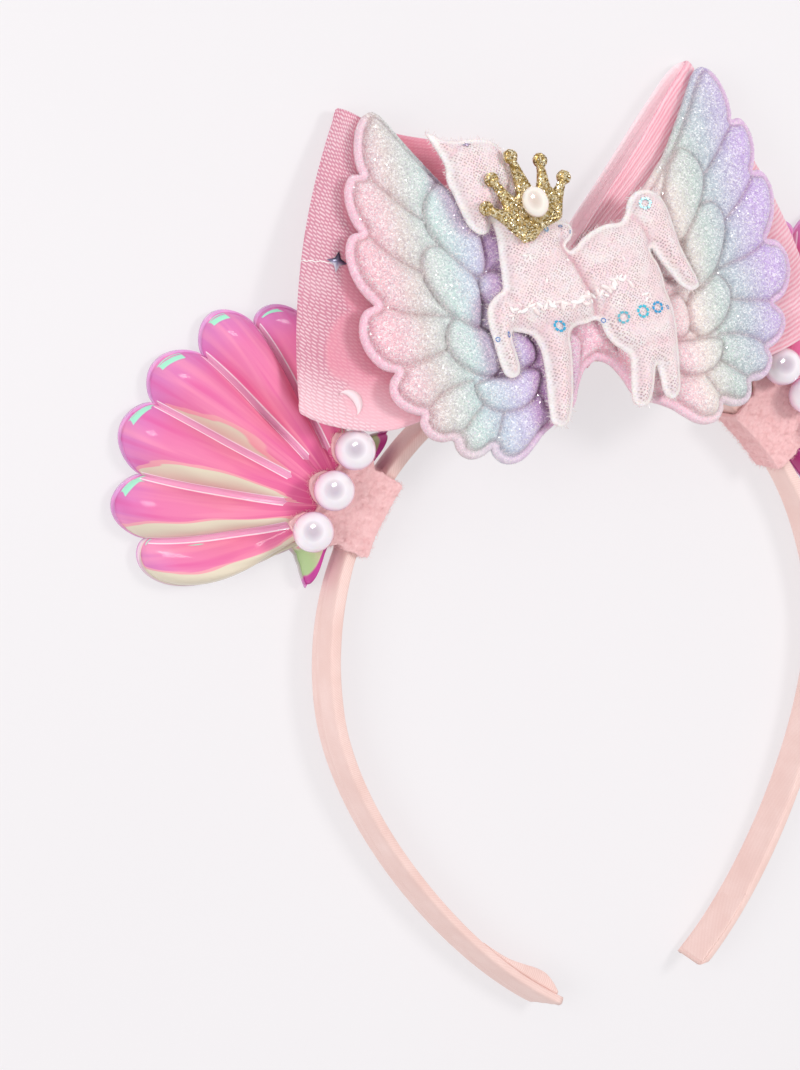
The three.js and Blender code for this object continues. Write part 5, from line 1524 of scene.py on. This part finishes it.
def makeStrewn():
    around, across, outer, inner = strewn["star"]
    place, facing, ahead = onLoop(-1, around, across, 0.15)
    makeCutout("silver_star", "net", starOutline(outer, inner, 4), place, facing, ahead, strewn["thick"],
               [0.3, 1, 1, 1, 0.3, 0, 0, 0], darkFoil)
    place, facing = onPlush(*strewn["lilac"][:2], 0.1)
    makeCutout("lilac_star", "plush", starOutline(*strewn["lilac"][2:], 4), place, facing,
               np.cross(padAxes[1], facing), strewn["thick"], [0.3, 0.8], greyFoil)
    around, across, radius = strewn["moon"]
    place, facing, ahead = onLoop(-1, around, across, 0.05)
    turns = np.radians(np.linspace(-strewn["moonDeg"], strewn["moonDeg"], 20))
    outer = np.column_stack([np.cos(turns), np.sin(turns)]) * radius
    hollow = np.column_stack([np.cos(turns[::-1]) * 0.52 - 0.2, np.sin(turns[::-1])])[1:-1] * radius
    makeMoon(np.vstack([outer, hollow]), len(outer), place, facing, -(ahead + np.cross(facing, ahead)) / math.sqrt(2))
    (fromAround, fromAcross), (toAround, toAcross) = strewn["thread"]
    line = [onLoop(-1, lerp(fromAround, toAround, t), lerp(fromAcross, toAcross, t) + 0.002 * math.sin(t * 19),
                   0.06 + 0.05 * math.sin(t * 13)) for t in np.linspace(0, 1, 36)]
    turns = np.linspace(0, 2 * math.pi, strewn["threadSides"], endpoint=False)[:, None]
    rings = [spot + strewn["threadRadius"] * (np.cos(turns) * facing + np.sin(turns) * np.cross(facing, ahead))
             for spot, facing, ahead in line]
    thread = makePiece("pulled_thread", np.vstack(rings), closeRings(len(rings), strewn["threadSides"]), clearThread)
    settle(thread, "net")


# The moon's two rows of points, outer and inner, are joined across into a thin crescent
def makeMoon(ring, outerCount, place, facing, ahead):
    aside = np.cross(facing, ahead)
    flat = place + ring[:, :1] * ahead + ring[:, 1:] * aside
    count = len(ring)
    points = np.vstack([flat + strewn["moonThick"] * facing, flat])
    faces = []
    for j in range(count):
        k = (j + 1) % count
        faces.append((j, j + count, k + count, k))
    for j in range(outerCount - 1):
        corners = [j, j + 1]
        if j + 2 < outerCount:
            corners.append(count - j - 1)
        if j:
            corners.append(count - j)
        faces += [tuple(corners), tuple(corner + count for corner in corners[::-1])]
    settle(makePiece("pale_moon", points, faces, palePrint, marks={"tone": np.full(2 * count, 0.1)}), "net")


makeStrewn()
print("trims ready")


# Crown: a flat glitter cut-out of five ball-tipped spikes, with an oval pearl
crownLook = {"u": -10.9, "v": 7.8, "turnDeg": 12.0, "back": 7.6, "thickness": 1.1, "cell": 0.22, "ball": 1.5,
             "fillet": 0.7, "neck": 0.6, "box": (-30, 4, 4, 30), "edge": 0.6, "bevel": 0.8, "bevelDrop": 0.4,
             "grit": 0.07}
crownBalls = [(9.6, 9.1), (6.0, 14.2), (0.0, 17.2), (-6.0, 14.2), (-9.6, 9.1)]
# foot of each spike: place and radius
crownFeet = [(4.2, 3.6, 1.6), (3.4, 5.4, 1.8), (0.0, 6.6, 2.2), (-3.4, 5.4, 1.8), (-4.2, 3.4, 1.6)]
crownBody = np.array([(-4.6, -0.4), (-2.2, -0.6), (0.6, 0.8), (5.4, 1.8), (5.9, 3.8), (4.3, 7.2), (0, 8.8), (-4.3, 7.2),
                      (-5.9, 3.6)])


crownTurn = math.radians(crownLook["turnDeg"])


def crownPlace(x, y):
    c, s = math.cos(crownTurn), math.sin(crownTurn)
    return crownLook["u"] + c * x - s * y, crownLook["v"] + s * x + c * y


def crownDepth(u, v):
    c, s = math.cos(crownTurn), math.sin(crownTurn)
    offU, offV = u - crownLook["u"], v - crownLook["v"]
    x, y = c * offU + s * offV, -s * offU + c * offV
    fields = [outlineField(x, y, crownBody)]
    for foot, ball in zip(crownFeet, crownBalls):
        away, radius = strokeField(x, y, (*foot, *ball, crownLook["neck"]))
        fields.append(radius - away)
    soft = crownLook["fillet"]
    body = soft * np.log(sum(np.exp(np.clip(field / soft, -30, 30)) for field in fields))
    for bx, by in crownBalls:
        body = np.maximum(body, crownLook["ball"] - np.hypot(x - bx, y - by))
    return body


def crownLevel(u, v):
    top = crownLook["back"] + crownLook["thickness"]
    edge = dome(crownDepth(u, v) / crownLook["bevel"])
    grit = crownLook["grit"] * np.sin(u * 9.1 + 2 * np.sin(v * 5.3)) * np.sin(v * 8.3 + u * 2.1)
    return top - crownLook["bevelDrop"] * (1 - edge) + grit * edge


crown = makeRelief("glitter_crown", crownLook["cell"], crownLook["box"], crownDepth, crownLevel,
                   crownLook["back"] + crownLook["edge"], crownLook["back"], gold)
settle(crown, "gold", "crown")
crownGlitter = {"perMm2": 13.0, "size": 0.16, "tip": 0.6, "lift": 0.06, "seed": 5}
strew("crown_glitter", "gold", crown, goldFlake, crownGlitter)

crownBead = {"y": 6.5, "width": 5.6, "length": 6.6, "height": 4.6, "seat": 0.7, "lift": 0.2}


def makeCrownPearl():
    look = crownBead
    u, v = crownPlace(0, look["y"])
    seat = look["seat"] * look["height"] / look["length"]
    n = crownLook["back"] + crownLook["thickness"] + look["lift"] + look["height"] / 2 - seat
    spot = makePiece("spot", [padPoint(u, v, n)], [], creamPearl)
    turn = Matrix(padAxes.T.tolist()) @ Matrix.Rotation(crownTurn, 3, "Z")
    pearl = grow("crown_bead", spot, pearlTree(creamPearl), {
        "Diameter": look["length"] * mm, "Seat": look["seat"] * mm, "Turn": tuple(turn.to_euler()),
        "Stretch": (look["width"] / look["length"], 1.0, look["height"] / look["length"])})
    settle(pearl, "pearl", "crown_pearl")


makeCrownPearl()
print("crown ready")


# Studio: pale floor, bright all-round light, a soft key and a fill, and a high softbox that only shows in gloss
studioLook = {"floor": ("#8A888A", "#8D8B8D"), "floorGlow": 0.615, "under": -0.85, "sky": "#FFFFFF", "skyPower": 0.57,
              "floorHalf": 1500,
              # name, place, width, height, power, colour, lights, shows in gloss
              "lamps": [("key", (0.5, 0.22, 0.8), 0.22, 0.22, 4.0, "#FFFCFA", True, False),
                        ("softbox", (-0.2, 0.52, 0.5), 0.28, 0.16, 3.4, "#FFFFFF", False, True),
                        ("fill", (-0.62, 0.2, 0.5), 0.5, 0.4, 2.7, "#FFFFFF", True, False)]}


def makeStudio():
    material, tree, shader = newMaterial("pale lit floor", {
        "Roughness": 0.9, "Emission Color": paint("#FFFCFE"), "Emission Strength": studioLook["floorGlow"]})
    place = addNode(tree, "ShaderNodeTexCoord")
    cloud = addNode(tree, "ShaderNodeTexNoise", {"Scale": 6.0, "Detail": 2.0}, {"Vector": (place, "Object")})
    tone = addNode(tree, "ShaderNodeValToRGB", {
        "stops": [(0.3, paint(studioLook["floor"][0])), (0.7, paint(studioLook["floor"][1]))]}, {"Fac": cloud})
    dress(tree, shader, tone.outputs[0])
    half, drop = studioLook["floorHalf"], studioLook["under"]
    floor = makePiece("floor", [(-half, -half, drop), (half, -half, drop), (half, half, drop), (-half, half, drop)],
                      [(0, 1, 2, 3)], material)
    world = bpy.data.worlds.new("bright studio")
    bpy.context.scene.world = world
    world.use_nodes = True
    world.node_tree.nodes.clear()
    sky = addNode(world.node_tree, "ShaderNodeBackground", {
        "Color": paint(studioLook["sky"]), "Strength": studioLook["skyPower"]})
    addNode(world.node_tree, "ShaderNodeOutputWorld", links={"Surface": sky})
    for name, place, wide, high, power, shade, lights, shines in studioLook["lamps"]:
        lamp = bpy.data.lights.new(name, "AREA")
        lamp.shape = "RECTANGLE"
        lamp.size, lamp.size_y = wide, high
        lamp.energy = power
        lamp.color = paint(shade)[:3]
        holder = addObject(name, lamp)
        holder.location = place
        holder.visible_diffuse = lights
        holder.visible_glossy = shines
        holder.rotation_euler = (-Vector(place)).to_track_quat("-Z", "Y").to_euler()


# Camera at the photograph's angle: place, and the directions to the picture's right, up and back
cameraLook = {"place": (-0.20933, 0.11197, 0.43836), "right": (0.915, -0.1246, 0.3838),
              "up": (0.1943, 0.9697, -0.1483), "back": (-0.3537, 0.2102, 0.9114), "lens": 99.0, "sensor": 36.0,
              "nearest": 0.01}


def makeCamera():
    look = cameraLook
    lens = bpy.data.cameras.new("camera")
    lens.lens = look["lens"]
    lens.sensor_width = look["sensor"]
    lens.sensor_fit = "HORIZONTAL"
    lens.clip_start = look["nearest"]
    camera = addObject("camera", lens)
    turn = Matrix((look["right"], look["up"], look["back"])).transposed()
    camera.matrix_world = Matrix.Translation(look["place"]) @ turn.to_quaternion().to_matrix().to_4x4()
    bpy.context.scene.camera = camera


makeStudio()
makeCamera()
bpy.context.scene.view_settings.view_transform = "Standard"
print("studio ready")

bpy.context.view_layer.update()
